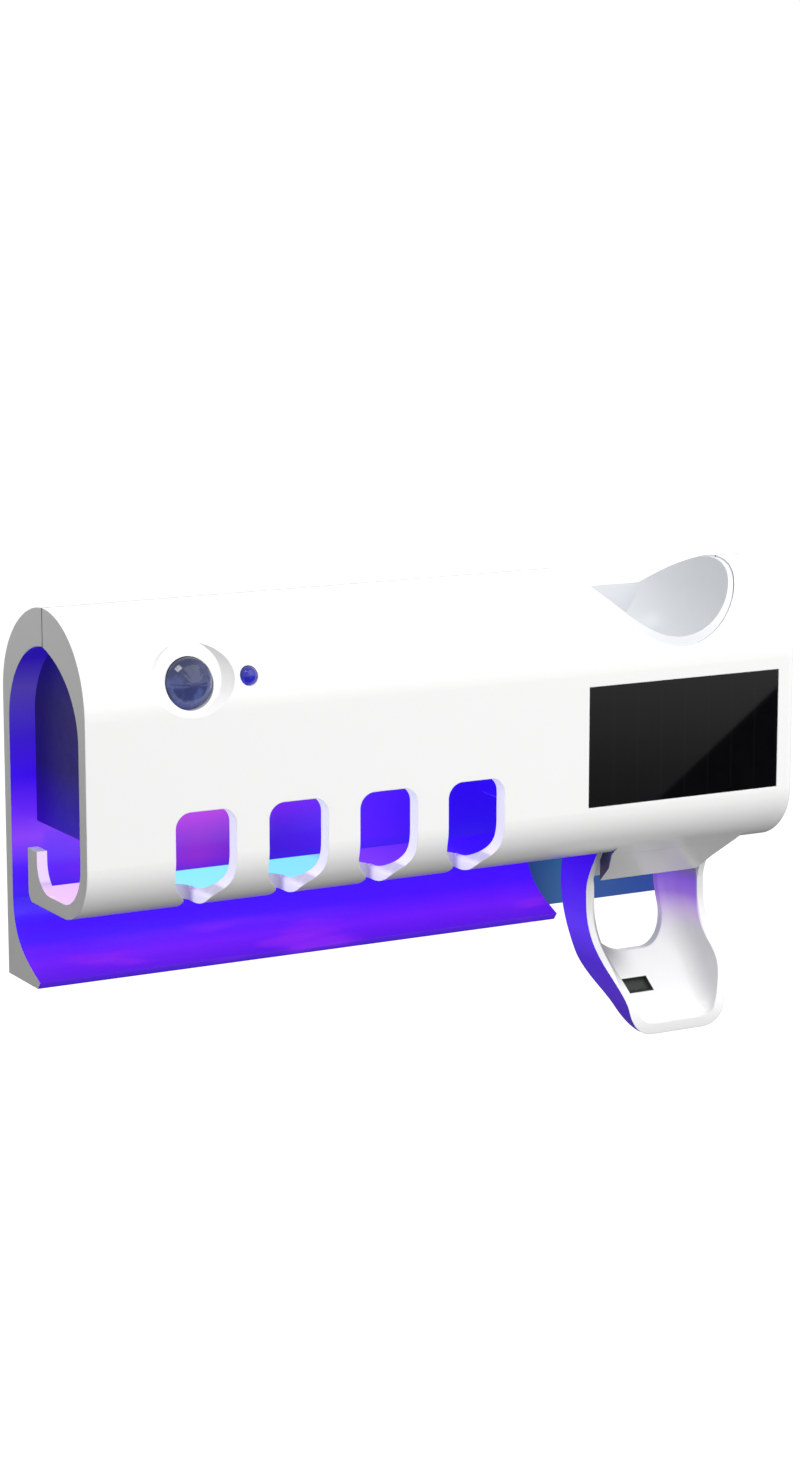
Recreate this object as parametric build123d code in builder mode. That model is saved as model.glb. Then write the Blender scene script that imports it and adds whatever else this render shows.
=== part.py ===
from build123d import *
import math
import os

# Wall-hung toothbrush sanitizer with a push-lever toothpaste dispenser.
# Millimetres. +Z up, the front faces -Y, +X is right as seen from the front.
# The origin is the centre of the wall bracket's contact face, on the wall.
# Heights are given as a drop below the top of the housing, and depths as a
# distance out from the wall, because that is how such a housing is drawn.

os.makedirs("parts", exist_ok=True)

# ---- overall size ----------------------------------------------------------
WIDTH = 226.0
TOP = 36.0                  # height of the housing's top above the origin
DEPTH = 57.0                # wall to the flat front face
BACK_OUT = 2.0              # wall to the shell's back face
SEAM_OUT = 30.0             # the two shells meet here
COVER_DROP = 82.3           # underside of the front cover
SHELL_DROP = 106.0          # lower edge of the back shell
COVER_T = 4.4               # front cover wall
SHELL_T = 4.0               # back shell wall
FLOOR_T = 4.0               # brush-rest floor
FLOOR_BACK = 20.0           # free rear edge of the floor
CORNER_R = 16.0             # lower front corner
INNER_R = 12.0              # inside of that corner
BEHIND = 1.0                # how far a cutter runs past a face
LEFT = -WIDTH / 2
RIGHT = WIDTH / 2
END_T = 4.0                 # closed right end
END_EDGE_R = 3.0
CLEAR = 0.2                 # gap round a piece that drops into a pocket

# ---- open left end ---------------------------------------------------------
SEAM_GROOVE_W = 0.3         # shadow groove round the seam
SEAM_GROOVE_D = 0.6
RING_L = 7.5                # thick arch at the open end
RING_DROP = 10.5            # underside of the thick arch
RING_FOOT_DROP = 34.0       # where the thick arch has run out into the wall
HOOK_L = 3.0
HOOK_OUT = 17.2
HOOK_TOP_DROP = 67.5
HOOK_T = 6.2
HOOK_HEEL_R = 3.0           # outer heel of the hook
HOOK_THROAT_R = 8.0         # inner curve from the floor up to the hook
BAFFLE_T = 1.6
BAFFLE_DROP = 62.8
PARTITION_GAP = 0.3         # round a partition

# ---- brush slots -----------------------------------------------------------
SLOT_COUNT = 4
SLOT_PITCH = 27.8
SLOT_FIRST_X = -78.3
SLOT_W = 18.0
SLOT_TOP_DROP = 53.5
SLOT_SHOULDER_DROP = 70.5
NECK_W = 7.6
NECK_BACK = 38.0            # centre of the neck slot's round end
NECK_TOP_DROP = 79.5        # the neck starts to widen here
SLOT_TOP_R = 4.5

# ---- foot flare of the back shell ------------------------------------------
FLARE_RIGHT = 52.0
FLARE_OUT = 24.0
FLARE_TOP_DROP = 84.0
FLARE_BAYS = 4
FLARE_RIB = 3.0
FLARE_LIP = 1.6             # rounding-back of the foot's lower edge
FLARE_WALL = 5.0            # foot left in front of the bays

# ---- sensor, light and solar panel -----------------------------------------
PIR_X = -81.0
PIR_DROP = 19.5
PIR_D = 13.8
PIR_FACE_OUT = 53.2
PIR_DISH_R = 9.6            # floor of the dished seat round the lens
PIR_DISH_UP = 1.8           # its centre above the lens's
PIR_DISH_TILT = 15          # degrees the floor leans back
PIR_DISH_DEPTH = 6.0        # of the cutter, whose wall slopes at 45 degrees
PIR_DOME_R = 8.0
PIR_SEAT_OUT = 49.5         # inner seat of the lens's flange
PIR_FLANGE_R = 7.9
PIR_CAN_R = 4.1
PIR_CAN_L = 4.2
PIR_BRIM_R = 4.6
PIR_BRIM_T = 0.5
LENS_WALL = 1.2
HOLE_FIT = 0.3              # how much wider a hole is than what fills it
LED_X = -64.6
LED_DROP = 18.4
LED_D = 5.0
LED_BRIM_R = 2.9
LED_BACK_OUT = 48.4         # back of the light's brim
LED_BRIM_T = 1.0
LED_TIP_OUT = 57.2
LED_LEAD_PITCH = 2.54
LED_LEAD_W = 0.5
SOLAR_X = 74.2
SOLAR_DROP = 47.8
SOLAR_W = 64.4
SOLAR_H = 34.4
SOLAR_T = 1.8
TAPE_T = 0.6
LEAD_HOLE_IN = 8.0          # the leads' hole, in from the panel's left and upper edges
LEAD_HOLE_R = 2.5

# ---- electronics -----------------------------------------------------------
TRAY_DROP = 43.0
TRAY_T = 2.0
TRAY_BACK = 6.4
TRAY_FRONT = 52.2
WIRE_HOLE_R = 4.0
PARTITION_X = 35.0
BOARD_OUT = 43.0
BOARD_T = 1.6
BOARD_LEFT = -91.0
BOARD_RIGHT = -35.0
BOARD_TOP_DROP = 12.0
BOARD_LOW_DROP = 40.0
CHIP_W = 7.0
CHIP_T = 1.4
CAPACITOR_R = 2.5
CAPACITOR_L = 7.0
TRANSFORMER_W = 14.0
TRANSFORMER_H = 12.0
TRANSFORMER_T = 9.0
CELL_R = 9.2
CELL_L = 65.0
CELL_X = -0.5
CELL_OUT = 22.0
CELL_DROP = 26.0
CELL_EDGE_R = 0.8
HOLDER_WALL = 1.5
HOLDER_END_T = 2.0
HOLDER_CORE = (26.0, 13.0, 4.5)   # width, depth and height of each hollow under the holder
CONTACT_T = 0.4
CONTACT_GAP = 0.6           # between the cell's end and the holder's end wall
LAMP_R = 4.0
LAMP_OUT = 16.0
LAMP_DROP = 53.8
LAMP_X = -33.0
LAMP_L = 112.0
SOCKET_L = 10.0
REFLECTOR_R = 8.4
REFLECTOR_T = 0.6
REFLECTOR_FROM = 30         # degrees up from straight out
REFLECTOR_SWEEP = 160
LAMP_FIT = 0.1              # gap round the lamp in its sockets
SOCKET_HALF = 7.0
LAMP_END_R = 1.5

# ---- right-end inlet and switch --------------------------------------------
PORT_BOARD_X = 103.4
PORT_OUT = 18.0
USB_DROP = 53.0
SWITCH_DROP = 42.0
SWITCH_TRAVEL = 3.0
USB_W = 8.9
USB_H = 3.2
USB_WALL = 0.3
USB_BASE_T = 1.0            # closed rear of the inlet
TONGUE_T = 0.7
SWITCH_LEN = 8.6
SWITCH_W = 4.4
SWITCH_BODY_T = 3.0
SWITCH_FLOOR_T = 1.0
KNOB_W = 2.4
KNOB_H = 3.6
KNOB_PROUD = 1.2            # the knob stands this far out of the end
KNOB_SLOT_W = 3.0
RIDGE_T = 0.4
RIDGE_PITCH = 1.1

# ---- dispenser -------------------------------------------------------------
CUP_X = 73.8
CUP_OUT = 31.0
CUP_R = 28.2
CUP_DROP = 30.0
CUP_WALL = 1.6
CUP_BACK_OUT = 7.5
PUMP_X = 76.65
PUMP_OUT = 38.0
ADAPTER_OUT = 32.0
ADAPTER_BORE_R = 5.0
ADAPTER_FLANGE_R = 8.0
ADAPTER_FLANGE_T = 2.5
ADAPTER_NECK_R = 7.1
ADAPTER_L = 8.0             # neck length below the flange
SOCKET_R = 7.2              # hole in the cup and socket in the pump for the adapter
BELLOWS_DROP = 62.0
PLUNGER_OUT = 17.7
PLUNGER_T = 2.3
ROD_D = 3.0
ROD_SPREAD = 21.0
ROD_BACK_OUT = 15.6
PUMP_FLANGE_W = 22.0
PUMP_FLANGE_H = 26.0
PUMP_FLANGE_BACK = 28.5
BORE_R = 3.5                # paste's way down
PORT_R = 1.8                # paste's way out over the lever
BELLOWS_OUTER_R = 8.7
BELLOWS_INNER_R = 6.8
BELLOWS_WALL = 1.2
BELLOWS_FOLDS = 3
OUTLET_OUT = 28.0
NOZZLE_TOP_DROP = 82.0
NOZZLE_FLANGE_T = 2.0

# ---- push lever ------------------------------------------------------------
LEVER_X = 79.5
LEVER_W = 41.4
LEVER_T = 2.0
LEVER_RIM_T = 2.8            # the scoop's side walls and rim are thicker than its back
HOLLOW_REACH = 8.0          # how far the scoop's hollow is cut out past its rim
SCOOP_R = 6.0               # hollow corner between the scoop's back and its sides
PIVOT_OUT = 22.0
PIVOT_DROP = 80.0
PIN_D = 3.0
PIN_CLEAR = 0.05            # hole in the lever over the pin's nominal radius
PIN_UNDER = 0.02            # the pin under its nominal radius
LUG_T = 4.8
LUG_GAP = 0.5
CROSSBAR_OUT = 14.9
CROSSBAR_R = 2.5
LEVER_TOP_CUT = 60.0        # the outline runs on up to here, above the scoop
LEVER_LOW_DROP = 137.6
SIDE_DROP = 116.0           # the sides are straight down to here
WAIST_DROP = 130.0          # and have drawn in by WAIST_IN here
WAIST_IN = 4.0
FOOT_IN = 12.0              # start of the flat lower edge, in from the side
WINDOW_IN = 2.3             # the window's middle lies this far left of the lever's
WINDOW_HALF = 14.3
WINDOW_FOOT_HALF = 3.0      # flat of its lower edge
WINDOW_TOP_DROP = 96.0
WINDOW_LOW_DROP = 117.3
WINDOW_SIDE_DROP = 106.0    # the window's sides are straight down to here
DRAIN_W = 8.8
DRAIN_H = 3.1
DRAIN_IN = 7.0              # left of the lever's middle
DRAIN_DROP = 125.5
DRAIN_SKIN = 0.7            # plastic left behind the blind drain recess
SPRING_R = 2.6
SPRING_PITCH = 1.0
SPRING_WIRE_R = 0.35
APRON_TOP_OUT = 50.6
APRON_TOP_DROP = 79.1
APRON_OUT = 30.3
APRON_DROP = 94.0
APRON_T = 5.1               # apron's thickness, front to back, at its top

# ---- wall bracket ----------------------------------------------------------
BRACKET_W = 72.0
BRACKET_H = 36.0
PAD_T = 1.0
PLATE_T = 2.2
POCKET_OUT = 3.4
LIFT = 12.0
HOOK_X = 24.0
HOOK_W = 14.0
BRACKET_HOLE_D = 4.5
BRACKET_HOLE_SPACING = 20.0
BRACKET_CORNER_R = 4.0
COUNTERSINK_WIDER = 1.2     # countersink radius beyond the hole's
PRONG_T = 2.0               # upright prong of a bracket hook
PRONG_OUT = 8.4             # its outer face
PRONG_ROOT = 2.0            # root of the hook above the bracket's middle
PRONG_TIP = 14.0            # tip of the prong above the bracket's middle
PRONG_NECK_T = 4.0

# ---- case screws -----------------------------------------------------------
SCREW_POINTS = [(-99.0, 36.0), (39.5, 24.0), (39.5, 66.0), (106.0, 66.0)]   # X, drop
BOSS_D = 8.0
SCREW_D = 3.0
SCREW_BITE = 0.15           # a thread-forming screw and its pilot are this much under size
PILOT_L = 12.0
SCREW_L = 22.0
SCREW_HEAD_D = 5.6
SCREW_HEAD_T = 2.2
RECESS_L = 3.2              # cross recess
RECESS_W = 0.7
RECESS_T = 1.2
HEAD_SEAT_OUT = 18.0


def section(x):
    """Plane across the housing: local x is out from the wall, local y is up from the top."""
    return Plane(origin=(x, 0, TOP), x_dir=(0, -1, 0), z_dir=(-1, 0, 0))


def front(out):
    """Plane facing the front, at a distance out from the wall: local x is X, local y is up."""
    return Plane(origin=(0, -out, TOP), x_dir=(1, 0, 0), z_dir=(0, -1, 0))


def plan(drop):
    """Level plane at a drop below the top: local x is X, local y is out from the wall, facing down."""
    return Plane(origin=(0, 0, TOP - drop), x_dir=(1, 0, 0), z_dir=(0, 0, -1))


def port_plane(x, drop):
    """Plane facing the right end, at a port's centre: local x runs to the wall, local y is up."""
    return Plane(origin=(x, -PORT_OUT, TOP - drop), x_dir=(0, 1, 0), z_dir=(1, 0, 0))


def front_arch(t):
    """Front quarter of the housing's arch, moved in by t, from the seam to the front face."""
    return Bezier(
        (SEAM_OUT, -t),
        (SEAM_OUT + 12 - t * 0.3, -t),
        (DEPTH - t, -9 - t * 0.4),
        (DEPTH - t, -27 - t * 0.2),
    )


def back_arch(t):
    """Back quarter of the housing's arch, moved in by t, from the seam to the back face."""
    return Bezier(
        (SEAM_OUT, -t),
        (SEAM_OUT - 12, -t),
        (BACK_OUT + t, -10 - t * 0.5),
        (BACK_OUT + t, -26),
    )


def housing_outline(t):
    """Closed outline of the whole housing, moved in by t, down to the cover's underside."""
    low = COVER_DROP - t
    fore = front_arch(t)
    Line(fore @ 1, (DEPTH - t, -COVER_DROP + CORNER_R))
    RadiusArc(
        (DEPTH - t, -COVER_DROP + CORNER_R),
        (DEPTH - CORNER_R, -low),
        CORNER_R - t,
    )
    Line((DEPTH - CORNER_R, -low), (BACK_OUT + t, -low))
    aft = back_arch(t)
    Line((BACK_OUT + t, -low), aft @ 1)


def save(part, name):
    part.label = name
    export_step(part, "parts/" + name + ".step")


# ---- wall bracket ----------------------------------------------------------
with BuildPart() as wall_bracket:
    with BuildSketch(front(PAD_T)):
        with Locations((0, -TOP)):
            RectangleRounded(BRACKET_W, BRACKET_H, BRACKET_CORNER_R)
    extrude(amount=PLATE_T)
    # two upward hooks that reach through the back shell's windows
    for hx in (-HOOK_X, HOOK_X):
        with BuildSketch(section(hx - HOOK_W / 2)):
            with BuildLine():
                Polyline(
                    (PAD_T + PLATE_T, -TOP + PRONG_ROOT),
                    (PRONG_OUT, -TOP + PRONG_ROOT),
                    (PRONG_OUT, -TOP + PRONG_TIP),
                    (PRONG_OUT - PRONG_T, -TOP + PRONG_TIP),
                    (PRONG_OUT - PRONG_T, -TOP + PRONG_ROOT + PRONG_NECK_T),
                    (PAD_T + PLATE_T, -TOP + PRONG_ROOT + PRONG_NECK_T),
                    close=True,
                )
            make_face()
        extrude(amount=-HOOK_W)
    with Locations(front(PAD_T + PLATE_T)):
        with Locations((-BRACKET_HOLE_SPACING / 2, -TOP), (BRACKET_HOLE_SPACING / 2, -TOP)):
            CounterSinkHole(
                BRACKET_HOLE_D / 2, BRACKET_HOLE_D / 2 + COUNTERSINK_WIDER, counter_sink_angle=90
            )
save(wall_bracket.part, "wall_bracket")

with BuildPart() as adhesive_pad:
    with BuildSketch(front(0)):
        with Locations((0, -TOP)):
            RectangleRounded(BRACKET_W - 2, BRACKET_H - 2, BRACKET_CORNER_R - 1)
        with Locations((-BRACKET_HOLE_SPACING / 2, -TOP), (BRACKET_HOLE_SPACING / 2, -TOP)):
            Circle(BRACKET_HOLE_D / 2, mode=Mode.SUBTRACT)
    extrude(amount=PAD_T)
save(adhesive_pad.part, "adhesive_pad")


# ---- dispenser cup, used as a cutter too -----------------------------------
def cup_profile(grow):
    """Half section of the tube cup about its own upright axis: radius, height from the top."""
    wall = Bezier(
        (CUP_R + grow, -8),
        (CUP_R + grow, -20 - grow),
        (22 + grow, -CUP_DROP - grow),
        (10, -CUP_DROP - grow),
    )
    Line(wall @ 1, (0, -CUP_DROP - grow))
    Line((0, -CUP_DROP - grow), (0, 6))
    Line((0, 6), (CUP_R + grow, 6))
    Line((CUP_R + grow, 6), wall @ 0)


CUP_AXIS = Axis((CUP_X, -CUP_OUT, 0), (0, 0, 1))
CUP_PLANE = Plane(origin=(CUP_X, -CUP_OUT, TOP), x_dir=(1, 0, 0), z_dir=(0, -1, 0))

with BuildPart() as cup_cutter:
    with BuildSketch(CUP_PLANE):
        with BuildLine():
            cup_profile(CLEAR)
        make_face()
    revolve(axis=CUP_AXIS)
    # the cup is flat towards the wall
    split(bisect_by=Plane(origin=(0, -CUP_BACK_OUT + CLEAR, 0), z_dir=(0, -1, 0)))


# ---- shadow groove round the shells' seam, used as a cutter ----------------
with BuildPart() as seam_gap:
    for groove_left, groove_right, groove_drop in (
        (LEFT - BEHIND, RIGHT + BEHIND, SEAM_GROOVE_D),
        (LEFT - BEHIND, LEFT + SEAM_GROOVE_D, RING_DROP + BEHIND),
        (RIGHT - SEAM_GROOVE_D, RIGHT + BEHIND, COVER_DROP + BEHIND),
    ):
        with BuildSketch(front(SEAM_OUT - SEAM_GROOVE_W / 2)):
            with Locations(((groove_left + groove_right) / 2, (BEHIND - groove_drop) / 2)):
                Rectangle(groove_right - groove_left, groove_drop + BEHIND)
        extrude(amount=SEAM_GROOVE_W)

# ---- back shell ------------------------------------------------------------
with BuildPart() as back_shell:
    # back wall and rear half of the arch, the whole width
    with BuildSketch(section(LEFT)):
        with BuildLine():
            outer = back_arch(0)
            Line(outer @ 1, (BACK_OUT, -SHELL_DROP))
            Line((BACK_OUT, -SHELL_DROP), (BACK_OUT + SHELL_T, -SHELL_DROP))
            inner = back_arch(SHELL_T)
            Line((BACK_OUT + SHELL_T, -SHELL_DROP), inner @ 1)
            Line(inner @ 0, outer @ 0)
        make_face()
    extrude(amount=-WIDTH)
    # thick arch round the open left end
    with BuildSketch(section(LEFT)):
        with BuildLine():
            outer = back_arch(0)
            ring = Bezier(
                (SEAM_OUT, -RING_DROP),
                (19, -RING_DROP),
                (BACK_OUT + SHELL_T, -20),
                (BACK_OUT + SHELL_T, -RING_FOOT_DROP),
            )
            Line(outer @ 0, ring @ 0)
            Line(ring @ 1, (BACK_OUT, -RING_FOOT_DROP))
            Line((BACK_OUT, -RING_FOOT_DROP), outer @ 1)
        make_face()
    extrude(amount=-RING_L)
    # rear half of the closed right end
    with BuildSketch(section(RIGHT - END_T)):
        with BuildLine():
            outer = back_arch(0)
            Line(outer @ 1, (BACK_OUT, -COVER_DROP))
            Line((BACK_OUT, -COVER_DROP), (SEAM_OUT, -COVER_DROP))
            Line((SEAM_OUT, -COVER_DROP), outer @ 0)
        make_face()
    extrude(amount=-END_T)
    # foot that flares out below the cover
    with BuildSketch(section(LEFT)):
        with BuildLine():
            hollow = Bezier(
                (BACK_OUT + SHELL_T, -FLARE_TOP_DROP),
                (BACK_OUT + SHELL_T + 0.5, -95),
                (12, -99),
                (FLARE_OUT, -SHELL_DROP + 2),
            )
            Line(hollow @ 1, (FLARE_OUT - FLARE_LIP, -SHELL_DROP))
            Line((FLARE_OUT - FLARE_LIP, -SHELL_DROP), (BACK_OUT, -SHELL_DROP))
            Line((BACK_OUT, -SHELL_DROP), (BACK_OUT, -FLARE_TOP_DROP))
            Line((BACK_OUT, -FLARE_TOP_DROP), hollow @ 0)
        make_face()
    extrude(amount=-(FLARE_RIGHT - LEFT))
    # bays that core the foot out from below
    bay_pitch = (FLARE_RIGHT - LEFT - FLARE_RIB) / FLARE_BAYS
    for i in range(FLARE_BAYS):
        with BuildSketch(section(LEFT + FLARE_RIB + i * bay_pitch)):
            with BuildLine():
                Polyline(
                    (BACK_OUT + SHELL_T, -SHELL_DROP - BEHIND),
                    (BACK_OUT + SHELL_T, -97.5),
                    (FLARE_OUT - FLARE_WALL, -SHELL_DROP + 1.1),
                    (FLARE_OUT - FLARE_WALL, -SHELL_DROP - BEHIND),
                    close=True,
                )
            make_face()
        extrude(amount=-(bay_pitch - FLARE_RIB), mode=Mode.SUBTRACT)
    # right end's outer edges are rounded
    end_face = back_shell.faces().sort_by(Axis.X)[-1]
    soft = end_face.edges().filter_by(lambda e: e.center().Y > -SEAM_OUT + 0.1 and e.center().Z > TOP - 80)
    fillet(soft, END_EDGE_R)
    # screw bosses
    for bx, drop in SCREW_POINTS:
        with BuildSketch(front(BACK_OUT + SHELL_T / 2)):
            with Locations((bx, -drop)):
                Circle(BOSS_D / 2)
        extrude(amount=SEAM_OUT - BACK_OUT - SHELL_T / 2)
    for bx, drop in SCREW_POINTS:
        with BuildSketch(front(BACK_OUT)):
            with Locations((bx, -drop)):
                Circle(SCREW_D / 2 + CLEAR)
        extrude(amount=SEAM_OUT, mode=Mode.SUBTRACT)
        with BuildSketch(front(BACK_OUT)):
            with Locations((bx, -drop)):
                Circle(SCREW_HEAD_D / 2 + 2 * CLEAR)
        extrude(amount=HEAD_SEAT_OUT - BACK_OUT, mode=Mode.SUBTRACT)
    # pocket and windows for the wall bracket, long enough to lift off
    with BuildSketch(front(BACK_OUT)):
        with Locations((0, -TOP - LIFT / 2)):
            Rectangle(BRACKET_W + 2, BRACKET_H + LIFT + 1)
    extrude(amount=POCKET_OUT - BACK_OUT, mode=Mode.SUBTRACT)
    for hx in (-HOOK_X, HOOK_X):
        with BuildSketch(front(BACK_OUT)):
            with Locations((hx, -TOP + PRONG_ROOT + PRONG_NECK_T + 0.1 - (LIFT + PRONG_NECK_T + 1) / 2)):
                Rectangle(HOOK_W + 1, LIFT + PRONG_NECK_T + 1)
        extrude(amount=SHELL_T + 1, mode=Mode.SUBTRACT)
    # opening for the tube cup
    add(cup_cutter.part, mode=Mode.SUBTRACT)
    # inlet and switch openings in the right end
    with BuildSketch(port_plane(RIGHT - END_T - BEHIND, USB_DROP)):
        RectangleRounded(USB_W + 0.5, USB_H + 0.5, 1.5)
    extrude(amount=END_T + 2 * BEHIND, mode=Mode.SUBTRACT)
    with BuildSketch(port_plane(RIGHT - END_T - BEHIND, SWITCH_DROP)):
        Rectangle(KNOB_SLOT_W, SWITCH_TRAVEL + KNOB_H + 1)
    extrude(amount=END_T + 2 * BEHIND, mode=Mode.SUBTRACT)
    # lugs that hold the lever's hinge pin
    for side in (-1, 1):
        lug_x = LEVER_X + side * (LEVER_W / 2 + LUG_GAP + LUG_T / 2)
        with BuildSketch(section(lug_x - LUG_T / 2)):
            with BuildLine():
                Polyline(
                    (BACK_OUT + SHELL_T - 1, -PIVOT_DROP + 7),
                    (PIVOT_OUT, -PIVOT_DROP + 4),
                    (PIVOT_OUT, -PIVOT_DROP - 4),
                    (BACK_OUT + SHELL_T - 1, -PIVOT_DROP - 7),
                    close=True,
                )
            make_face()
            with Locations((PIVOT_OUT, -PIVOT_DROP)):
                Circle(4)
                Circle(PIN_D / 2, mode=Mode.SUBTRACT)
        extrude(amount=-LUG_T)
    add(seam_gap.part, mode=Mode.SUBTRACT)
save(back_shell.part, "back_shell")

# ---- apron over the lever, built on its own then joined to the cover -------
with BuildPart() as apron:
    with BuildSketch(section(LEVER_X - 30)):
        with BuildLine():
            Polyline(
                (APRON_TOP_OUT, -APRON_TOP_DROP),
                (APRON_OUT, -APRON_DROP),
                (APRON_OUT, -COVER_DROP + 2),
                (APRON_TOP_OUT - 2, -COVER_DROP + 3.4),
                close=True,
            )
        make_face()
    extrude(amount=-60)
    with BuildSketch(section(LEVER_X - 30)):
        with BuildLine():
            Polyline(
                (APRON_OUT - 1, -APRON_DROP + 2.9),
                (APRON_TOP_OUT - APRON_T, -COVER_DROP + 3.2),
                (APRON_TOP_OUT - APRON_T, -COVER_DROP + 6),
                (APRON_OUT - 1, -COVER_DROP + 6),
                close=True,
            )
        make_face()
    cheek_gap = extrude(amount=-60, mode=Mode.PRIVATE)
    with BuildSketch(plan(APRON_DROP + 2)):
        with BuildLine():
            Polyline(
                (LEVER_X - 24.0, 54),
                (LEVER_X - 22.7, 46),
                (LEVER_X - 18.2, 37.5),
                (LEVER_X - 16.4, APRON_OUT - 1),
                (LEVER_X + 17.3, APRON_OUT - 1),
                (LEVER_X + 18.2, 37.5),
                (LEVER_X + 20.3, 46),
                (LEVER_X + 21.6, 54),
                close=True,
            )
        make_face()
    extrude(amount=-30, mode=Mode.INTERSECT)
    with BuildSketch(plan(APRON_DROP + 3)):
        with BuildLine():
            Polyline(
                (LEVER_X - 20.0, 46),
                (LEVER_X - 15.6, 37.5),
                (LEVER_X - 14.2, APRON_OUT - 2),
                (LEVER_X + 14.6, APRON_OUT - 2),
                (LEVER_X + 15.6, 37.5),
                (LEVER_X + 17.6, 46),
                close=True,
            )
        make_face()
    chute = extrude(amount=-30, mode=Mode.PRIVATE)
    add(chute.intersect(cheek_gap), mode=Mode.SUBTRACT)

# ---- front cover -----------------------------------------------------------
with BuildPart() as front_cover:
    # arch, front wall, rounded lower corner and brush-rest floor
    with BuildSketch(section(LEFT)):
        with BuildLine():
            outer = front_arch(0)
            Line(outer @ 1, (DEPTH, -COVER_DROP + CORNER_R))
            RadiusArc((DEPTH, -COVER_DROP + CORNER_R), (DEPTH - CORNER_R, -COVER_DROP), CORNER_R)
            Line((DEPTH - CORNER_R, -COVER_DROP), (FLOOR_BACK, -COVER_DROP))
            Line((FLOOR_BACK, -COVER_DROP), (FLOOR_BACK, -COVER_DROP + FLOOR_T))
            Line((FLOOR_BACK, -COVER_DROP + FLOOR_T), (DEPTH - COVER_T - INNER_R, -COVER_DROP + FLOOR_T))
            RadiusArc(
                (DEPTH - COVER_T - INNER_R, -COVER_DROP + FLOOR_T),
                (DEPTH - COVER_T, -COVER_DROP + FLOOR_T + INNER_R),
                -INNER_R,
            )
            inner = front_arch(COVER_T)
            Line((DEPTH - COVER_T, -COVER_DROP + FLOOR_T + INNER_R), inner @ 1)
            Line(inner @ 0, outer @ 0)
        make_face()
    extrude(amount=-WIDTH)
    # thick arch round the open left end
    with BuildSketch(section(LEFT)):
        with BuildLine():
            outer = front_arch(0)
            ring = Bezier(
                (SEAM_OUT, -RING_DROP),
                (42, -RING_DROP - 3),
                (DEPTH - COVER_T, -22),
                (DEPTH - COVER_T, -RING_FOOT_DROP),
            )
            Line(outer @ 0, ring @ 0)
            Line(ring @ 1, (DEPTH, -RING_FOOT_DROP))
            Line((DEPTH, -RING_FOOT_DROP), outer @ 1)
        make_face()
    extrude(amount=-RING_L)
    # upturned hook at the floor's open end
    with BuildSketch(section(LEFT)):
        with BuildLine():
            hook_in = HOOK_OUT + HOOK_T
            floor_top = -COVER_DROP + FLOOR_T
            hook_root = hook_in + HOOK_THROAT_R + 2
            Line((HOOK_OUT, -HOOK_TOP_DROP), (HOOK_OUT, -COVER_DROP + HOOK_HEEL_R))
            RadiusArc(
                (HOOK_OUT, -COVER_DROP + HOOK_HEEL_R),
                (HOOK_OUT + HOOK_HEEL_R, -COVER_DROP),
                -HOOK_HEEL_R,
            )
            Line((HOOK_OUT + HOOK_HEEL_R, -COVER_DROP), (hook_root, -COVER_DROP))
            Line((hook_root, -COVER_DROP), (hook_root, floor_top))
            Line((hook_root, floor_top), (hook_in + HOOK_THROAT_R, floor_top))
            RadiusArc(
                (hook_in + HOOK_THROAT_R, floor_top),
                (hook_in, floor_top + HOOK_THROAT_R),
                HOOK_THROAT_R,
            )
            Line((hook_in, floor_top + HOOK_THROAT_R), (hook_in, -HOOK_TOP_DROP))
            Line((hook_in, -HOOK_TOP_DROP), (HOOK_OUT, -HOOK_TOP_DROP))
        make_face()
    extrude(amount=-HOOK_L)
    # front half of the closed right end
    with BuildSketch(section(RIGHT - END_T)):
        with BuildLine():
            outer = front_arch(0)
            Line(outer @ 1, (DEPTH, -COVER_DROP + CORNER_R))
            RadiusArc((DEPTH, -COVER_DROP + CORNER_R), (DEPTH - CORNER_R, -COVER_DROP), CORNER_R)
            Line((DEPTH - CORNER_R, -COVER_DROP), (SEAM_OUT, -COVER_DROP))
            Line((SEAM_OUT, -COVER_DROP), outer @ 0)
        make_face()
    extrude(amount=-END_T)
    # the floor stops at the seam where the dispenser works
    with BuildSketch(plan(COVER_DROP + 1)):
        with Locations(((PARTITION_X + 1 + RIGHT + 1) / 2, (FLOOR_BACK - 1 + SEAM_OUT) / 2)):
            Rectangle(RIGHT - PARTITION_X, SEAM_OUT - FLOOR_BACK + 1)
    extrude(amount=-(FLOOR_T + 2), mode=Mode.SUBTRACT)
    end_face = front_cover.faces().sort_by(Axis.X)[-1]
    soft = end_face.edges().filter_by(lambda e: e.center().Y < -SEAM_OUT - 0.1)
    fillet(soft, END_EDGE_R)
    # apron, with the chute under the pump left open
    add(apron.part)
    with BuildSketch(plan(COVER_DROP + 0.5)):
        with Locations((LEVER_X - 1.2, (APRON_OUT - 1 + APRON_TOP_OUT - APRON_T) / 2)):
            Rectangle(33, APRON_TOP_OUT - APRON_T - APRON_OUT + 1)
    extrude(amount=-(FLOOR_T + 1), mode=Mode.SUBTRACT)
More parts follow.
